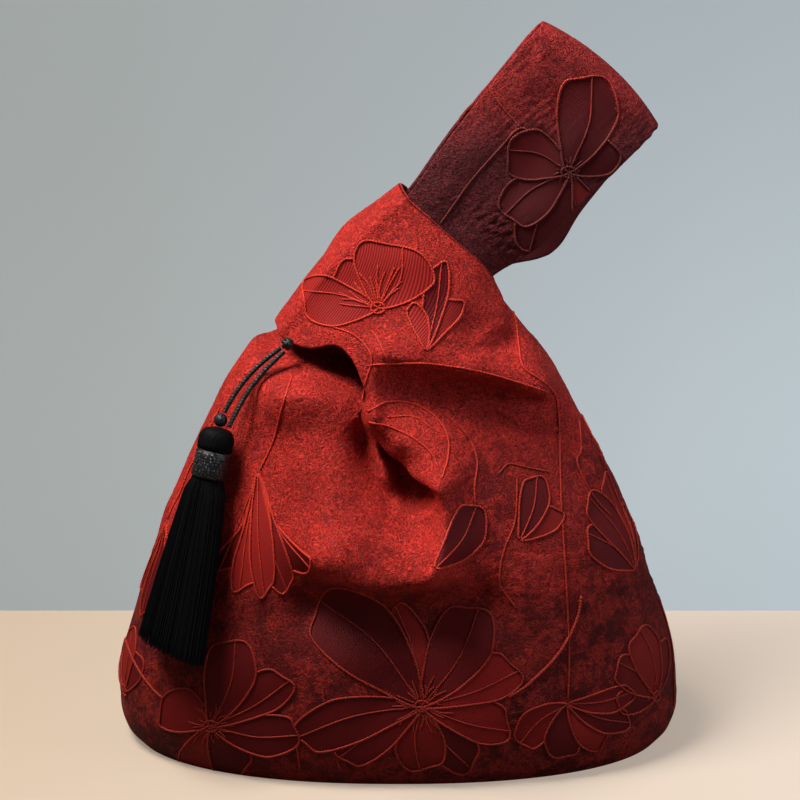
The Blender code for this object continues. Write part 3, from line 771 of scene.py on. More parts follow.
# Stems of the front: points in the photograph's pixels, and the cord's radius in millimetres
FRONT_STEMS = [
    ([(292, 376), (281, 412), (274, 440), (260, 470)], 0.40),
    ([(502, 296), (514, 315), (519, 347), (524, 368), (550, 388), (558, 412), (561, 500), (566, 580),
      (569, 650), (568, 700)], 0.38),
    ([(581, 595), (576, 621), (557, 655), (528, 684), (508, 697)], 0.64),
    ([(126, 640), (136, 664), (150, 685), (164, 699)], 0.58),
    ([(440, 224), (470, 182), (500, 148), (520, 128), (536, 140), (568, 172)], 0.36),
    ([(520, 128), (500, 104), (488, 88)], 0.32),
    ([(366, 366), (384, 364), (420, 363), (449, 366), (491, 374), (548, 392)], 0.34),
    ([(300, 770), (296, 740), (292, 716)], 0.4),
    ([(322, 690), (330, 730), (340, 770)], 0.32),
    ([(312, 318), (330, 326), (352, 334), (366, 346), (372, 360), (366, 380), (362, 400)], 0.34),
    ([(369, 422), (384, 425), (395, 429), (413, 438), (431, 453), (438, 468)], 0.36),
    ([(368, 412), (387, 402), (413, 404), (434, 416), (447, 435), (448, 456), (442, 478)], 0.34),
    ([(386, 417), (414, 417), (434, 430)], 0.28),
    ([(458, 424), (470, 440), (477, 462), (474, 490), (477, 521), (470, 550), (458, 566)], 0.36),
    ([(499, 473), (508, 464), (525, 467), (550, 472)], 0.32),
    ([(517, 478), (515, 520), (504, 550), (500, 582), (516, 608)], 0.34),
    ([(579, 420), (581, 449), (577, 463), (593, 496), (611, 516)], 0.36),
    ([(372, 330), (380, 344), (386, 358)], 0.28),
]
# The back's flowers and stems, in millimetres right and down as seen from behind
BACK_FLOWERS = [
    ((16, -58), [(224, 142, 37, 0.06), (300, 118, 31, 0.05), (258, 104, 19, 0.1), (342, 103, 25, -0.08),
                 (20, 96, 23, -0.05), (166, 120, 24, 0.05), (140, 90, 20, 0.0), (98, 92, 25, 0.0),
                 (58, 90, 22, 0.0)], (0, 345, 28, 26)),
    ((-62, -42), [(286, 86, 25, 0.08), (332, 80, 20, -0.06), (10, 70, 20, 0.08), (62, 70, 20, 0.0),
                  (118, 72, 19, 0.0), (205, 60, 22, 0.1)], (0, 345, 20, 19)),
    ((76, -46), [(255, 84, 20, 0.1), (215, 76, 18, 0.0), (295, 66, 16, 0.0), (150, 60, 18, 0.0)], None),
    ((-44, -122), [(94, 110, 12, 0.0), (108, 112, 14, -0.1), (80, 112, 13, 0.06), (68, 100, 12, 0.16)],
     None),
    ((34, -128), [(300, 72, 30, 0.0), (195, 72, 22, -0.1), (235, 60, 18, 0.1)], (190, 318, 34, 12)),
    ((-52, -234), [(246, 86, 30, 0.08), (300, 66, 24, 0.0), (190, 60, 22, 0.1), (60, 72, 22, 0.0),
                   (104, 84, 25, 0.0), (146, 70, 22, 0.0)], (0, 345, 16, 17)),
    ((10, -178), [(238, 52, 19, 0.0), (290, 50, 19, 0.0), (190, 44, 16, 0.0)], None),
]
BACK_STEMS = [
    ([(-40, -146), (-46, -138), (-44, -124)], 0.40),
    ([(-8, -160), (2, -130), (4, -100), (14, -66)], 0.38),
    ([(60, -96), (70, -80), (76, -50)], 0.36),
    ([(-20, -196), (-34, -214), (-50, -232)], 0.36),
    ([(-78, -92), (-70, -70), (-64, -46)], 0.60),
    ([(40, -150), (36, -140), (34, -130)], 0.34),
]
# The sides' flowers and stems: azimuth, then millimetres right and down as seen from there
FRONT_SIDES = [
    (55, [((36, -76), [(244, 92, 20, 0.1), (268, 96, 18, 0.0), (222, 74, 18, -0.06),
                       (290, 62, 14, 0.0)], None),
          ((34, -26), [(262, 76, 22, 0.0), (228, 66, 18, 0.0), (298, 60, 17, 0.0),
                       (190, 52, 15, 0.0)], (180, 345, 16, 9))],
     [([(44, -140), (38, -124), (40, -104), (36, -78)], 0.42),
      ([(50, -60), (54, -40), (48, -16)], 0.5)]),
    (-55, [((-40, -92), [(92, 96, 14, 0.0), (112, 84, 16, -0.1), (72, 84, 15, 0.1)], None),
           ((-46, -24), [(262, 66, 20, 0.0), (300, 54, 16, 0.0), (224, 54, 16, 0.0)],
            (190, 340, 14, 8))],
     [([(-30, -138), (-34, -120), (-40, -94)], 0.42)]),
]
BACK_SIDES = [
    (125, [((-34, -78), [(284, 84, 19, 0.0), (256, 88, 18, 0.0), (312, 66, 17, 0.0)], None),
           ((-38, -26), [(270, 70, 20, 0.0), (306, 62, 17, 0.0), (234, 58, 16, 0.0)],
            (190, 340, 16, 9))],
     [([(-30, -136), (-32, -110), (-34, -80)], 0.42)]),
    (235, [((36, -86), [(262, 84, 18, 0.0), (236, 76, 17, 0.0), (288, 72, 17, 0.0)],
            (190, 340, 16, 9)),
           ((38, -30), [(250, 66, 19, 0.0), (286, 64, 18, 0.0), (214, 54, 15, 0.0)], None)],
     [([(30, -140), (32, -116), (36, -88)], 0.42)]),
]


class PhotoView:
    """Places on the front panel by the photograph's pixels."""

    unit = 1.0

    def places(self, points):
        """Where points appear in the view, right and down."""
        away = points - np.array(CAMERA_PLACE)
        ahead = away[:, 1] * math.cos(CAMERA_PITCH) - away[:, 2] * math.sin(CAMERA_PITCH)
        up = away[:, 1] * math.sin(CAMERA_PITCH) + away[:, 2] * math.cos(CAMERA_PITCH)
        return np.stack([VIEW_CENTRE[0] + FOCAL_PIXELS * away[:, 0] / ahead,
                         VIEW_CENTRE[1] - FOCAL_PIXELS * up / ahead], axis=1)

    def sight(self, points):
        """The direction in which each point is seen."""
        away = points - np.array(CAMERA_PLACE)
        return away / np.linalg.norm(away, axis=1)[:, None]

    def ray(self, x, y):
        """The start and direction of the sight line through a place."""
        across, down = (x - VIEW_CENTRE[0]) / FOCAL_PIXELS, (y - VIEW_CENTRE[1]) / FOCAL_PIXELS
        sine, cosine = math.sin(CAMERA_PITCH), math.cos(CAMERA_PITCH)
        return CAMERA_PLACE, Vector((across, cosine - down * sine, -sine - down * cosine))


class TurnedView:
    """Millimetres to the right and down, seen level from an azimuth: 0 the front, 90 the right."""

    unit = 1.0 / PIXELS_PER_MM

    def __init__(self, azimuth):
        turn = math.radians(azimuth)
        self.right = Vector((math.cos(turn), math.sin(turn), 0))
        self.ahead = Vector((-math.sin(turn), math.cos(turn), 0))

    def places(self, points):
        """Where points appear in the view, right and down."""
        return np.stack([points @ np.array(self.right) / MM, -points[:, 2] / MM], axis=1)

    def sight(self, points):
        """The direction in which each point is seen."""
        return np.broadcast_to(np.array(self.ahead), points.shape)

    def ray(self, x, y):
        """The start and direction of the sight line through a place."""
        return self.right * x * MM - self.ahead * 0.5 - Vector((0, 0, y * MM)), self.ahead


def side_work(sides):
    """The embroidery of a panel's sides: views with their flowers and stems."""
    return [(TurnedView(azimuth), flowers, stems) for azimuth, flowers, stems in sides]


def petal_outline(hub, angle, length, half_width, bend):
    """A petal's outline from its hub out to a waved tip and back."""
    angle = math.radians(angle)
    along = np.array([math.cos(angle), math.sin(angle)])
    aside = np.array([-along[1], along[0]])
    places = []
    for step in range(PETAL_STEPS + 1):
        turn = 2 * math.pi * step / PETAL_STEPS
        reach = (1 - math.cos(turn)) / 2
        width = math.sin(turn) * (0.35 + 0.75 * reach) * half_width * 1.25
        wave = 0.035 * math.sin(PETAL_WAVES * turn) * reach
        curve = bend * length * math.sin(math.pi * reach) * 0.6
        places.append(np.array(hub) + along * length * (reach + wave) + aside * (width + curve))
    return np.array(places)


def smooth_line(points, pitch):
    """A smooth line through points, with places about a pitch apart."""
    points = np.asarray(points, float)
    length = np.linalg.norm(np.diff(points, axis=0), axis=1).sum()
    count = max(4, int(length / pitch))
    return spline(points, np.linspace(0, len(points) - 1, count))


def inside_outline(places, outline):
    """Which places lie inside a closed outline."""
    inside = np.zeros(len(places), bool)
    x, y = places[:, 0], places[:, 1]
    for (x0, y0), (x1, y1) in zip(outline, np.roll(outline, -1, axis=0)):
        if y0 == y1:
            continue
        crossing = (y0 > y) != (y1 > y)
        inside ^= crossing & (x < (x1 - x0) * (y - y0) / (y1 - y0) + x0)
    return inside


class Embroidery:
    """The corded lines of a panel and the petals that they bound."""

    def __init__(self, panel, work, random):
        self.panel = panel
        self.random = random
        self.cords = []
        for view, flowers, _ in work:
            self.look(view)
            for hub, petals, _ in flowers:
                for petal in petals:
                    self.fill_petal(hub, petal)
        panel.wrinkle()
        self.tree = BVHTree.FromPolygons([tuple(p) for p in panel.points],
                                         [tuple(f) for f in panel.faces])
        for view, flowers, stems in work:
            self.look(view)
            for hub, petals, stamens in flowers:
                self.outline_petals(hub, petals)
                if stamens:
                    self.add_stamens(hub, stamens)
            for line, radius in stems:
                self.lay_cord(smooth_line(line, LINE_PITCH * view.unit), radius * MM)

    def look(self, view):
        """Takes up a view, and finds which points of the panel it sees from outside."""
        self.view = view
        self.outlines = []
        self.places = view.places(self.panel.points)
        slant = (self.panel.normals * view.sight(self.panel.points)).sum(axis=1)
        self.facing = slant < FACING_LIMIT

    def lay_cord(self, line, radius):
        """Follows a line of places over the cloth, and breaks it where the cloth drops away."""
        run = []
        hidden = np.zeros(len(line), bool)
        for outline in self.outlines:
            hidden |= inside_outline(np.asarray(line), outline)
        for (x, y), covered in zip(line, hidden):
            if covered:
                self.keep(run, radius)
                run = []
                continue
            start, direction = self.view.ray(x, y)
            hit, normal, _, _ = self.tree.ray_cast(start, direction.normalized())
            if hit is None or (run and (hit - run[-1]).length > CORD_BREAK):
                self.keep(run, radius)
                run = []
            if hit is not None:
                run.append(hit + normal * radius * CORD_PROUD)
        self.keep(run, radius)

    def keep(self, run, radius):
        """Keeps a laid cord if it is long enough, and evens it out."""
        if len(run) < CORD_LEAST:
            return
        path = np.array(run)
        for _ in range(2):
            path[1:-1] = path[1:-1] * 0.5 + (path[:-2] + path[2:]) * 0.25
        self.cords.append((even_path(path, CORD_PITCH, 3)[0], radius))

    def petal_line(self, hub, petal):
        """A petal's outline in the view's places."""
        angle, length, half_width, bend = petal
        unit = self.view.unit
        return petal_outline(hub, angle, length * unit, half_width * unit, bend)

    def fill_petal(self, hub, petal):
        """Marks the cloth inside a petal, unless another petal covers it, with a random warmth and painted
        light above and to the left.
        """
        inside = inside_outline(self.places, self.petal_line(hub, petal)) & self.facing
        inside &= self.panel.petals == 0
        warmth_and_painted_light = self.random.uniform(0.35, 1.0)
        if inside.any():
            across, _, up = self.panel.points[inside].mean(axis=0) / MM
            # Painted light: petals above and to the left are made warmer
            warmth_and_painted_light += 0.4 * rise(up, *WARM_PAINTED_LIGHT_ABOVE) * rise(across, *WARM_PAINTED_LIGHT_ACROSS)
        self.panel.petals[inside] = min(warmth_and_painted_light, 1.0)

    def outline_petals(self, hub, petals):
        """The outlines and veins of a flower's petals; a petal hides those drawn after it."""
        unit = self.view.unit
        for petal in petals:
            outline = self.petal_line(hub, petal)
            self.lay_cord(smooth_line(outline, LINE_PITCH * unit), PETAL_CORD)
            angle, length, _, bend = petal
            if length > VEINED_LENGTH:
                tip = petal_outline(hub, angle, length * unit, 0, bend)[PETAL_TIP]
                bow = outline[PETAL_FLANK] * 0.25 + (np.array(hub) + tip) * 0.375
                self.lay_cord(smooth_line([np.array(hub), bow, tip], LINE_PITCH * unit), VEIN_CORD)
            self.outlines.append(outline)

    def add_stamens(self, hub, stamens):
        """A ring at a flower's hub with stamens round it, laid over the petals."""
        covering, self.outlines = self.outlines, []
        unit = self.view.unit
        first, last, reach, count = stamens
        for number in range(count):
            angle = math.radians(first + (last - first) * number / (count - 1))
            angle += self.random.uniform(-0.08, 0.08)
            along = np.array([math.cos(angle), math.sin(angle)]) * unit
            aside = np.array([-along[1], along[0]])
            far = reach * self.random.uniform(0.7, 1.2)
            line = [along * RING_RADIUS, along * far * 0.6 + aside * self.random.uniform(-3, 3), along * far]
            self.lay_cord(smooth_line(np.array(line) + hub, STAMEN_PITCH * unit), STAMEN_CORD)
        turn = np.linspace(0, 2 * math.pi, 14)
        ring = np.stack([np.cos(turn), np.sin(turn) * 0.8], axis=1) * RING_RADIUS * unit + hub
        self.lay_cord(smooth_line(ring, RING_PITCH * unit), PETAL_CORD)
        self.outlines = covering


def build_cording(embroidery, name, material):
    """All the corded lines of a panel as one piece of beaded tubes, each taking the painted shade of the
    cloth beneath it.
    """
    points, faces, painted_shades = [], [], []
    count = 0
    panel = embroidery.panel
    for path, radius in embroidery.cords:
        # Painted shade of the nearest cloth
        below = [embroidery.tree.find_nearest(Vector(point))[2] for point in path]
        painted_shades.append(np.repeat(panel.painted_shade[panel.faces[below, 0]], CORD_SIDES, axis=0))
        steps = np.arange(len(path))
        beads = 1 + BEAD_SWELL * np.cos(steps * math.pi / BEAD_STEPS)
        taper = np.minimum(1, np.minimum(steps + 1, len(path) - steps) / CORD_TAPER)
        width = (radius * beads * taper)[:, None]
        rings = tube_rings(path, CORD_TURN, circle(CORD_SIDES), width)
        numbers = count + np.arange(len(path) * CORD_SIDES).reshape(len(path), CORD_SIDES)
        count += numbers.size
        points.append(rings.reshape(-1, 3))
        faces.append(ring_quads(numbers)[:, [0, 3, 2, 1]])
    made = add_mesh(name, np.concatenate(points), np.concatenate(faces), material, "bag")
    add_values(made, "painted_shade", np.concatenate(painted_shades), "FLOAT_VECTOR")
    return made


def add_node(tree, kind, inputs=None, **settings):
    """A shader node; an input that is a socket is linked and any other is set."""
    made = tree.nodes.new(kind)
    for key, value in settings.items():
        setattr(made, key, value)
    for key, value in (inputs or {}).items():
        if isinstance(value, bpy.types.NodeSocket):
            tree.links.new(value, made.inputs[key])
        else:
            made.inputs[key].default_value = value
    return made


def calculate(tree, operation, first, second, third=0.5, clamp=False):
    """The result of one Math node; the third input counts only where the operation has one."""
    return add_node(tree, "ShaderNodeMath", {0: first, 1: second, 2: third}, operation=operation,
                    use_clamp=clamp).outputs[0]


def rescale(tree, value, low, high, to_low=0.0, to_high=1.0):
    """A value mapped from one range to another, clamped, with a soft start and end."""
    return add_node(tree, "ShaderNodeMapRange", {
        "Value": value, "From Min": low, "From Max": high, "To Min": to_low, "To Max": to_high,
    }, interpolation_type="SMOOTHSTEP").outputs["Result"]


def blend_colours(tree, share, first, second):
    """The mix of two colours."""
    made = add_node(tree, "ShaderNodeMix", {"Factor": share}, data_type="RGBA")
    for socket, colour in (("A", first), ("B", second)):
        target = next(i for i in made.inputs if i.name == socket and i.type == "RGBA")
        if isinstance(colour, bpy.types.NodeSocket):
            tree.links.new(colour, target)
        else:
            target.default_value = (*colour, 1)
    return next(o for o in made.outputs if o.type == "RGBA")


def new_group(name, inputs, outputs):
    """An empty shader node group with named inputs and outputs."""
    group = bpy.data.node_groups.new(name, "ShaderNodeTree")
    for socket, kind, value in inputs:
        made = group.interface.new_socket(socket, in_out="INPUT", socket_type=kind)
        if value is not None:
            made.default_value = value
    for socket, kind in outputs:
        group.interface.new_socket(socket, in_out="OUTPUT", socket_type=kind)
    return group, group.nodes.new("NodeGroupInput"), group.nodes.new("NodeGroupOutput")


def add_noise(tree, place, scale, detail, roughness=0.5, output="Fac"):
    """A noise texture's result."""
    return add_node(tree, "ShaderNodeTexNoise", {
        "Vector": place, "Scale": scale, "Detail": detail, "Roughness": roughness,
    }).outputs[output]


def calculate_vector(tree, operation, first, second):
    """The result of one Vector Math node."""
    key = "Scale" if operation == "SCALE" else 1
    return add_node(tree, "ShaderNodeVectorMath", {0: first, key: second},
                    operation=operation).outputs[0]


def object_place(tree):
    """Places in metres on the object."""
    return add_node(tree, "ShaderNodeTexCoord").outputs["Object"]


def stored(tree, name, output="Vector"):
    """The values that a mesh stores under a name."""
    return add_node(tree, "ShaderNodeAttribute", attribute_name=name).outputs[output]


def make_crinkle_group():
    """The puckered ground of the jacquard: how much light thread shows, less where painted shade darkens it,
    and its height.
    """
    group, given, result = new_group(
        "crinkled_ground",
        [("Place", "NodeSocketVector", None), ("Pucker", "NodeSocketFloat", 700.0),
         ("Painted Shade", "NodeSocketFloat", 0.0)],
        [("Light Thread", "NodeSocketFloat"), ("Height", "NodeSocketFloat")])
    place = given.outputs["Place"]
    sway = calculate_vector(group, "SUBTRACT", add_noise(group, place, 160.0, 2.0, output="Color"),
                            (0.5, 0.5, 0.5))
    moved = calculate_vector(group, "ADD", place, calculate_vector(group, "SCALE", sway, 0.006))
    cells = add_node(group, "ShaderNodeTexVoronoi",
                     {"Vector": moved, "Scale": given.outputs["Pucker"]},
                     feature="DISTANCE_TO_EDGE")
    ridge = rescale(group, cells.outputs["Distance"], 0.0, 0.22, 1.0, 0.0)
    speckle = rescale(group, add_noise(group, moved, 1150.0, 3.0, 0.65), 0.40, 0.62)
    patch = rescale(group, add_noise(group, moved, 130.0, 5.0, 0.75), 0.40, 0.60)
    ridged = calculate(group, "MULTIPLY", ridge, rescale(group, patch, 0.0, 1.0, 0.45, 1.0))
    light = calculate(group, "MULTIPLY_ADD", speckle, 0.55, 0.12)
    light = calculate(group, "ADD", light, calculate(group, "MULTIPLY", ridged, 0.45), clamp=True)
    mottle_and_painted_shade = rescale(group, add_noise(group, place, 22.0, 2.0), 0.42, 0.62, 1.0, 0.74)
    # Painted shade darkens the light thread further
    painted_shade_darkening = calculate(group, "MULTIPLY", given.outputs["Painted Shade"], 0.6)
    mottle_and_painted_shade = calculate(group, "SUBTRACT", mottle_and_painted_shade, painted_shade_darkening, clamp=True)
    light = calculate(group, "MULTIPLY", light, rescale(group, patch, 0.0, 1.0, mottle_and_painted_shade, 1.0))
    height = calculate(group, "ADD", calculate(group, "MULTIPLY", speckle, 0.45),
                       calculate(group, "MULTIPLY", ridged, 0.6))
    group.links.new(light, result.inputs["Light Thread"])
    group.links.new(height, result.inputs["Height"])
    return group


def make_twill_group():
    """Slanted ribs of a twill weave with uneven threads."""
    group, given, result = new_group(
        "twill_ribs",
        [("Place", "NodeSocketVector", None), ("Slant", "NodeSocketFloat", 0.7),
         ("Ribs", "NodeSocketFloat", 330.0)],
        [("Rib", "NodeSocketFloat")])
    turned = add_node(group, "ShaderNodeVectorRotate",
                      {"Vector": given.outputs["Place"], "Angle": given.outputs["Slant"]},
                      rotation_type="Z_AXIS").outputs[0]
    wave = add_node(group, "ShaderNodeTexWave", {
        "Vector": turned, "Scale": given.outputs["Ribs"], "Distortion": 0.6, "Detail": 2.0,
        "Detail Scale": 3.0,
    }).outputs["Fac"]
    rib = calculate(group, "MULTIPLY_ADD", add_noise(group, turned, 1600.0, 2.0), 0.5, wave)
    group.links.new(calculate(group, "SUBTRACT", rib, 0.25, clamp=True), result.inputs["Rib"])
    return group


def add_twill(tree, twill, place, slant, ribs):
    """The height of a twill's ribs at each place."""
    return add_node(tree, "ShaderNodeGroup", {"Place": place, "Slant": slant, "Ribs": ribs},
                    node_tree=twill).outputs["Rib"]


def new_material(name, roughness, metallic=0.0, sheen=0.0, sheen_tint=(1, 1, 1), specular=0.5):
    """A material, its tree and its shader, with the plain numbers set on the shader."""
    material = bpy.data.materials.new(name)
    material.use_nodes = True
    shader = material.node_tree.nodes["Principled BSDF"]
    for key, value in (("Roughness", roughness), ("Metallic", metallic), ("Sheen Weight", sheen),
                       ("Sheen Roughness", 0.35), ("Sheen Tint", (*sheen_tint, 1)),
                       ("Specular IOR Level", specular)):
        shader.inputs[key].default_value = value
    return material, material.node_tree, shader


def add_bump(tree, shader, height, strength, distance):
    """Raises a surface by a height through a Bump node."""
    bump = add_node(tree, "ShaderNodeBump", {"Height": height, "Strength": strength,
                                             "Distance": distance})
    tree.links.new(bump.outputs["Normal"], shader.inputs["Normal"])


def find_painted_shade(tree):
    """The cloth's cool painted shade share and its deep painted shade share, as two sockets."""
    parts = add_node(tree, "ShaderNodeSeparateXYZ", {0: stored(tree, "painted_shade")})
    return parts.outputs[0], parts.outputs[1]


def add_painted_shade(tree, colour, strength):
    """A colour with painted shade: cooler on the long loop, and deeper low down and to the right."""
    for share, painted_shade_tint in zip(find_painted_shade(tree), (COOL_PAINTED_SHADE_TINT, DEEP_PAINTED_SHADE_TINT)):
        painted_shade_colour = calculate_vector(tree, "MULTIPLY", colour, painted_shade_tint)
        colour = blend_colours(tree, calculate(tree, "MULTIPLY", share, strength), colour, painted_shade_colour)
    return colour


def make_jacquard(crinkle, twill):
    """The bag's cloth: puckered ground, smoother ribbed petals, with painted shade."""
    material, tree, shader = new_material("jacquard_cloth", 0.6, sheen=0.05,
                                          sheen_tint=(1.0, 0.22, 0.18), specular=0.12)
    petal = stored(tree, "petal", "Fac")
    inside = rescale(tree, petal, 0.2, 0.35)
    # The deep painted shade also darkens the ground's light thread
    ground = add_node(tree, "ShaderNodeGroup", {
        "Place": object_place(tree), "Pucker": 1150.0, "Painted Shade": find_painted_shade(tree)[1],
    }, node_tree=crinkle)
    ribs = add_twill(tree, twill, stored(tree, "cloth_place"), 0.62, 480.0)
    ground_colour = blend_colours(tree, ground.outputs["Light Thread"], GROUND_DARK, GROUND_LIGHT)
    dark = blend_colours(tree, ribs, PETAL_DARK, PETAL_LIGHT)
    warm = blend_colours(tree, ribs, PETAL_WARM_DARK, PETAL_WARM_LIGHT)
    petal_colour = blend_colours(tree, rescale(tree, petal, 0.5, 1.0), dark, warm)
    colour = blend_colours(tree, inside, ground_colour, petal_colour)
    # Painted shade, half as strong on the petals
    colour = add_painted_shade(tree, colour, rescale(tree, inside, 0.0, 1.0, 1.0, 0.5))
    tree.links.new(colour, shader.inputs["Base Color"])
    height = add_node(tree, "ShaderNodeMix", {
        "Factor": inside, 2: ground.outputs["Height"], 3: calculate(tree, "MULTIPLY", ribs, 0.3),
    }, data_type="FLOAT").outputs[0]
    add_bump(tree, shader, height, 0.9, 0.32 * MM)
    return material


def make_cord_red(twill):
    """The raised corded lines, with painted shade."""
    material, tree, shader = new_material("corded_line", 0.5, sheen=0.06,
                                          sheen_tint=(1.0, 0.3, 0.2), specular=0.2)
    ribs = add_twill(tree, twill, object_place(tree), 0.8, 700.0)
    colour = add_painted_shade(tree, blend_colours(tree, ribs, CORD_DARK, CORD_LIGHT), 1.0)
    tree.links.new(colour, shader.inputs["Base Color"])
    add_bump(tree, shader, ribs, 0.5, 0.12 * MM)
    return material


def make_lining(twill):
    """The plain lining cloth."""
    material, tree, shader = new_material("lining_cloth", 0.7, sheen=0.1, specular=0.2)
    ribs = add_twill(tree, twill, stored(tree, "cloth_place"), 0.8, 420.0)
    tree.links.new(blend_colours(tree, ribs, LINING_DARK, LINING_LIGHT),
                   shader.inputs["Base Color"])
    add_bump(tree, shader, ribs, 0.4, 0.15 * MM)
    return material


def make_black(name, twill, ribs, roughness, specular, light):
    """A black silk or cord finish with fine threads."""
    material, tree, shader = new_material(name, roughness, specular=specular)
    rib = add_twill(tree, twill, object_place(tree), 0.9, ribs)
    tree.links.new(blend_colours(tree, rib, BLACK_DARK, light), shader.inputs["Base Color"])
    add_bump(tree, shader, rib, 0.5, 0.12 * MM)
    return material


def make_band():
    """The braided metallic band of the tassel."""
    material, tree, shader = new_material("silver_band", 0.38, metallic=0.35, specular=0.5)
    place = stored(tree, "wrap_place")
    checks = add_node(tree, "ShaderNodeTexVoronoi",
                      {"Vector": place, "Scale": 900.0, "Randomness": 0.5})
    glint = rescale(tree, checks.outputs["Distance"], 0.1, 0.6, 1.0, 0.0)
    spark = rescale(tree, add_noise(tree, place, 1300.0, 2.0), 0.42, 0.62)
    glint = calculate(tree, "MULTIPLY", glint, spark)
    tree.links.new(blend_colours(tree, glint, BAND_DARK, BAND_GLINT), shader.inputs["Base Color"])
    add_bump(tree, shader, glint, 0.7, 0.25 * MM)
    return material


def make_board():
    """The stiff board in the base."""
    material, tree, shader = new_material("stiff_board", 0.9, specular=0.2)
    fibre = add_noise(tree, object_place(tree), 500.0, 4.0)
    tree.links.new(blend_colours(tree, fibre, BOARD_DARK, BOARD_LIGHT),
                   shader.inputs["Base Color"])
    return material


def frame_along(direction, facing):
    """Two directions square to a direction: across it, and towards the side it faces."""
    axis = direction.normalized()
    across = axis.cross(facing).normalized()
    return across, across.cross(axis).normalized()


def tassel_places():
    """Where the knot, the bead, the strands, the cap, the band and the skirt are."""
    hem = [station_row(SHORT_STATIONS, np.array([1.0]), -1)[row][0] for row in (-1, -2)]
    hem = Vector(hem[0]).lerp(Vector(hem[1]), KNOT_SHARE)
    knot = hem + KNOT_SIDE * (KNOT_RADIUS + CLOTH_GAP * 1.5)
    lean = (SKIRT_END_PLACE - CAP_PLACE).normalized()
    bead = CAP_PLACE - lean * (BEAD_RADIUS + TASSEL_GAP)
    run = (bead - knot).normalized()
    left, _ = frame_along(run, TASSEL_FACING)
    beside = left * (STRAND_RADIUS + TASSEL_GAP / 2)
    top = knot + run * (KNOT_RADIUS + TASSEL_GAP)
    foot = bead - run * (BEAD_RADIUS + TASSEL_GAP)
    cap_left, _ = frame_along(lean, TASSEL_FACING)
    far_foot = CAP_PLACE - cap_left * STRAND_FOOT - lean * (STRAND_RADIUS + TASSEL_GAP)
    strands = [(top + beside, foot + beside), (top - beside, far_foot)]
    band = CAP_PLACE + lean * (CAP_LENGTH + TASSEL_GAP)
    skirt = band + lean * (BAND_LENGTH + TASSEL_GAP)
    return {"knot": knot, "bead": bead, "lean": lean, "strands": strands,
            "bow": left * STRAND_BOW, "cap": CAP_PLACE, "band": band, "skirt": skirt}


def twisted_cord(name, path, radius, material, body):
    """A cord of two twisted plies along a path."""
    centre, along = even_path(np.array([tuple(point) for point in path]), 0.3 * MM, 6)
    turns = circle(TWIST_SIDES)
    swell = 0.80 + 0.20 * np.abs(np.cos(turns[None] - 2 * math.pi * along[:, None] / TWIST_PITCH))
    rings = tube_rings(centre, (0.2, 0.9, 0.1), turns, radius * swell)
    numbers = np.arange(len(centre) * TWIST_SIDES).reshape(len(centre), TWIST_SIDES)
    faces = list(ring_quads(numbers)[:, [0, 3, 2, 1]]) + [numbers[0], numbers[-1][::-1]]
    return add_mesh(name, rings.reshape(-1, 3), faces, material, body)


def turned_piece(name, start, axis, profile, sides, material, body, grooves=0, groove_depth=0.0):
    """A turned piece from (length, half width, half depth) rings, with grooves down its side."""
    across, deep = frame_along(axis, TASSEL_FACING)
    turns = circle(sides)
    cut = 1 - groove_depth * (0.5 - 0.5 * np.cos(grooves * turns))
    rings, wraps = [], []
    for length, half_width, half_depth in profile:
        centre = np.array(start + axis * length)
        rings.append(centre + np.outer(np.cos(turns) * cut * half_width, across)
                     - np.outer(np.sin(turns) * cut * half_depth, deep))
        wraps.append(np.stack([turns * half_width, np.full(sides, length), 0 * turns], axis=1))
    numbers = np.arange(len(profile) * sides).reshape(len(profile), sides)
    faces = list(ring_quads(numbers)) + [numbers[0][::-1], numbers[-1]]
    made = add_mesh(name, np.concatenate(rings), faces, material, body)
    add_values(made, "wrap_place", np.concatenate(wraps), "FLOAT_VECTOR")
    return made


def skirt_halves(share):
    """Half the skirt's width and depth, at a share of its length from the band."""
    flare = min(1.0, share) ** SKIRT_FLARE
    return [SKIRT_TOP_RADIUS + (end / 2 - SKIRT_TOP_RADIUS) * flare
            for end in (SKIRT_END_WIDTH, SKIRT_END_DEPTH)]


def build_skirt(place, lean, material, random):
    """The tassel's skirt as many silk threads around a full core, cut at a slant."""
    across, deep = (np.array(v) for v in frame_along(lean, TASSEL_FACING))
    start, axis = np.array(place), np.array(lean)
    points, faces = [], []
    for _ in range(THREADS):
        around = random.uniform(0, 2 * math.pi)
        layer = math.sqrt(random.uniform(0.70, 1.0))
        cosine, sine = math.cos(around), math.sin(around)
        end = SKIRT_LENGTH * (0.985 - 0.022 * cosine + random.uniform(-0.012, 0.012))
        sway = random.uniform(-0.25, 0.25) * MM
        width = random.uniform(0.22, 0.36) * MM
        out = across * cosine - deep * sine
        aside = across * sine + deep * cosine
        numbers = len(points) + np.arange(THREAD_RINGS * 3).reshape(THREAD_RINGS, 3)
        faces += list(ring_quads(numbers))
        for share in np.arange(THREAD_RINGS) / (THREAD_RINGS - 1):
            reach = share * end / SKIRT_LENGTH
            half_width, half_depth = skirt_halves(reach)
            pull = 1 - 0.10 * math.exp(-((reach / 0.02) ** 2))
            centre = (start + axis * (SKIRT_LENGTH * reach)
                      + across * (cosine * half_width * layer * pull + sway * share)
                      - deep * (sine * half_depth * layer * pull))
            thin = width * (1 if share < 0.97 else 0.5)
            points += [centre + out * thin * 0.6, centre + aside * thin, centre - aside * thin]
    return add_mesh("tassel_threads", points, faces, material, "tassel")


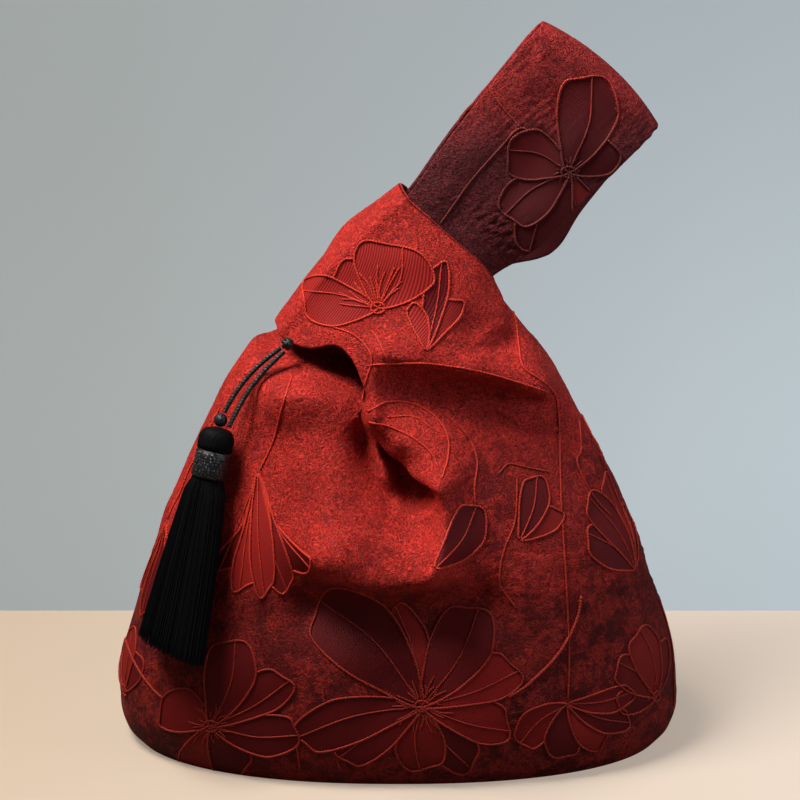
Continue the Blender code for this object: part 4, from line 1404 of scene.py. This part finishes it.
def build_skirt_core(place, lean, material):
    """The dark full core that the threads cover."""
    profile = []
    for share in np.arange(CORE_RINGS) / (CORE_RINGS - 1):
        half_width, half_depth = skirt_halves(share)
        profile.append((SKIRT_LENGTH * CORE_SHARE * share,
                        half_width * CORE_SHARE, half_depth * CORE_SHARE))
    return turned_piece("tassel_core", place, lean, profile, 90, material, "tassel", 30, 0.1)


def dress(node=None):
    """Hides the frame's node that a piece replaces, when one is given."""
    if node:
        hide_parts(node)


def build_knot(knot, cord):
    """Three turns of cord wound round one another on the hem."""
    for number, turn in enumerate(KNOT_TURNS):
        across, deep = frame_along(Vector((math.cos(turn), 0.3, math.sin(turn))), KNOT_SIDE)
        ring = [knot + across * math.cos(a) * KNOT_RADIUS * KNOT_INNER
                + deep * math.sin(a) * KNOT_RADIUS * KNOT_INNER
                for a in np.linspace(0, 2 * math.pi, KNOT_STEPS)]
        coil = twisted_cord(f"knot_turn_{number + 1}", ring, STRAND_RADIUS, cord, "bag")
        dress(None if number else "hanging_knot")


def build_strands(places, cord):
    """The doubled cord's strands, each with its path and its length."""
    strands = []
    for (top, bottom), side in zip(places["strands"], ("left", "right")):
        path = [top.lerp(bottom, share) + places["bow"] * math.sin(math.pi * share)
                for share in np.linspace(0, 1, STRAND_STEPS)]
        strand = twisted_cord(f"doubled_cord_{side}", path, STRAND_RADIUS * STRAND_FULLNESS, cord,
                              "tassel")
        dress(f"tassel_cord_{side}")
        length = sum((b - a).length for a, b in zip(path, path[1:]))
        strands.append((strand, path, length))
    return strands


def build_bead(place, lean, cord):
    """The bead of wound cord between the strands and the cap."""
    ball = [(-BEAD_RADIUS * math.cos(a), BEAD_RADIUS * math.sin(a), BEAD_RADIUS * math.sin(a))
            for a in np.linspace(0.12, 3.02, 16)]
    bead = turned_piece("cord_bead_silk", place, lean, ball, 36, cord, "tassel", 9, 0.12)
    dress("cord_bead")
    return bead


def round_profile(shape, length, radius):
    """A round piece's rings from shares of its length and radius."""
    return [(along * length, width * radius, width * radius) for along, width in shape]


def build_cap(place, lean, silk):
    """The domed head of the tassel, bound with fine silk."""
    cap = turned_piece("tassel_cap_braid", place, lean,
                       round_profile(CAP_DOME, CAP_LENGTH, CAP_RADIUS), 120, silk, "tassel",
                       40, 0.03)
    dress("tassel_cap")
    return cap


def build_band(place, lean, silver):
    """The glittering band below the cap."""
    band = turned_piece("tassel_band_braid", place, lean,
                        round_profile(BAND_BARREL, BAND_LENGTH, BAND_RADIUS), 120, silver, "tassel")
    dress("tassel_band")
    return band


def build_tassel(materials):
    """The knot on the hem, the doubled cord, the bead, the cap, the band and the skirt."""
    places = tassel_places()
    cord, silk = materials["black_cord"], materials["black_silk"]
    random = np.random.default_rng(12)
    lean = places["lean"]
    build_knot(places["knot"], cord)
    left, right = build_strands(places, cord)
    bead = build_bead(places["bead"], lean, cord)
    cap = build_cap(places["cap"], lean, silk)
    band = build_band(places["band"], lean, materials["silver_band"])
    core = build_skirt_core(places["skirt"], lean, silk)
    threads = build_skirt(places["skirt"], lean, silk, random)
    dress("tassel_skirt")
    dress()


def finish_stage(tree, shader, painted_light_colours, painted_light_fall):
    """Gives a stage piece its colours with painted light, lighter to the right and on the wall dimmer higher
    up, its glow for the camera and, for the wall, a clear back.
    """
    spot = add_node(tree, "ShaderNodeSeparateXYZ", {0: object_place(tree)})
    # Painted light: lighter to the right
    painted_shade = blend_colours(tree, rescale(tree, spot.outputs[0], *STAGE_PAINTED_LIGHT_SPAN), *painted_light_colours)
    seen = tree.nodes.new("ShaderNodeLightPath").outputs["Is Camera Ray"]
    share = rescale(tree, seen, 0.0, 1.0, STAGE_BOUNCE, 1.0)
    if painted_light_fall:
        share = calculate(tree, "MULTIPLY", share, rescale(tree, spot.outputs[1], *painted_light_fall))
    dimmed_with_painted_light = calculate_vector(tree, "SCALE", painted_shade, share)
    tree.links.new(dimmed_with_painted_light, shader.inputs["Base Color"])
    tree.links.new(dimmed_with_painted_light, shader.inputs["Emission Color"])
    tree.links.new(calculate(tree, "MULTIPLY", seen, STAGE_GLOW), shader.inputs["Emission Strength"])
    if painted_light_fall:
        behind = tree.nodes.new("ShaderNodeNewGeometry").outputs["Backfacing"]
        clear = tree.nodes.new("ShaderNodeBsdfTransparent").outputs[0]
        mix = add_node(tree, "ShaderNodeMixShader", {0: behind, 1: shader.outputs[0], 2: clear})
        output = next(n for n in tree.nodes if n.type == "OUTPUT_MATERIAL")
        tree.links.new(mix.outputs[0], output.inputs["Surface"])


def add_stage():
    """A pale floor and a backdrop that can't be seen from behind, each with a painted light gradient."""
    half = STAGE_SIZE / 2
    corners = [(-half, -half, 0), (half, -half, 0), (half, half, 0), (-half, half, 0)]
    for name, place, tilt, painted_light_colours, painted_light_fall in (
            ("floor", (0, 0, 0), 0, (FLOOR_LEFT_PAINTED_DIM, FLOOR_RIGHT_PAINTED_LIGHT), None),
            ("backdrop", WALL_PLACE, math.pi / 2, (WALL_LEFT_PAINTED_DIM, WALL_RIGHT_PAINTED_LIGHT), WALL_PAINTED_LIGHT_FALL)):
        mesh = bpy.data.meshes.new(name)
        mesh.from_pydata(corners, [], [(0, 1, 2, 3)])
        made = bpy.data.objects.new(name, mesh)
        made.location = place
        made.rotation_euler = (tilt, 0, 0)
        bpy.context.collection.objects.link(made)
        material, tree, shader = new_material(f"{name}_finish", 0.95, specular=0.1)
        finish_stage(tree, shader, painted_light_colours, painted_light_fall)
        mesh.materials.append(material)


def add_light(name, place, aim, size, watts, colour):
    """A soft square lamp that shines at a point."""
    light = bpy.data.lights.new(name, "AREA")
    light.size = size
    light.energy = watts
    light.color = colour
    made = bpy.data.objects.new(name, light)
    made.location = place
    made.rotation_euler = (Vector(aim) - Vector(place)).to_track_quat("-Z", "Y").to_euler()
    bpy.context.collection.objects.link(made)


def add_camera_and_lights():
    """The photograph's view, a soft key from the upper left and weaker cool light."""
    camera = bpy.data.cameras.new("camera")
    camera.sensor_width = 36
    camera.lens = 36 * FOCAL_PIXELS / FRAME_PIXELS
    camera.shift_x = (FRAME_PIXELS / 2 - VIEW_CENTRE[0]) / FRAME_PIXELS
    made = bpy.data.objects.new("camera", camera)
    made.location = CAMERA_PLACE
    made.rotation_euler = (math.pi / 2 - CAMERA_PITCH, 0, 0)
    bpy.context.collection.objects.link(made)
    bpy.context.scene.camera = made
    for lamp in LAMPS:
        add_light(*lamp)
    world = bpy.data.worlds.new("soft_room")
    world.use_nodes = True
    background = world.node_tree.nodes["Background"]
    background.inputs["Color"].default_value = (*ROOM_LIGHT, 1)
    background.inputs["Strength"].default_value = ROOM_STRENGTH
    bpy.context.scene.world = world
    bpy.context.scene.view_settings.view_transform = "Standard"


def main():
    """Every piece of the dressed bag."""
    add_camera_and_lights()
    add_stage()
    crinkle, twill = make_crinkle_group(), make_twill_group()
    jacquard, corded = make_jacquard(crinkle, twill), make_cord_red(twill)
    lining = make_lining(twill)
    materials = {
        "black_cord": make_black("black_cord", twill, 500.0, 0.45, 0.35, BLACK_CORD),
        "black_silk": make_black("black_silk", twill, 260.0, 0.6, 0.05, BLACK_SILK),
        "silver_band": make_band(),
    }
    build_tassel(materials)
    front_work = [(PhotoView(), FRONT_FLOWERS, FRONT_STEMS)] + side_work(FRONT_SIDES)
    back_work = [(TurnedView(180), BACK_FLOWERS, BACK_STEMS)] + side_work(BACK_SIDES)
    for side, word, grid, work in ((-1, "front", FRONT_GRID, front_work),
                                   (1, "back", BACK_GRID, back_work)):
        panel = Panel(side, grid)
        embroidery = Embroidery(panel, work, np.random.default_rng(5))
        cloth = build_panel_cloth(panel, f"{word}_cloth", jacquard)
        dress(f"{word}_panel")
        inner = build_panel_lining(panel, f"{word}_inner", lining, 2 * HEM_RADIUS)
        dress(f"{word}_lining")
        cording = build_cording(embroidery, f"{word}_cording", corded)
        dress()
    for node, material in (("base_panel", jacquard), ("base_board", make_board()),
                           ("base_lining", lining)):
        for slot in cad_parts[node].material_slots:
            slot.material = material


main()
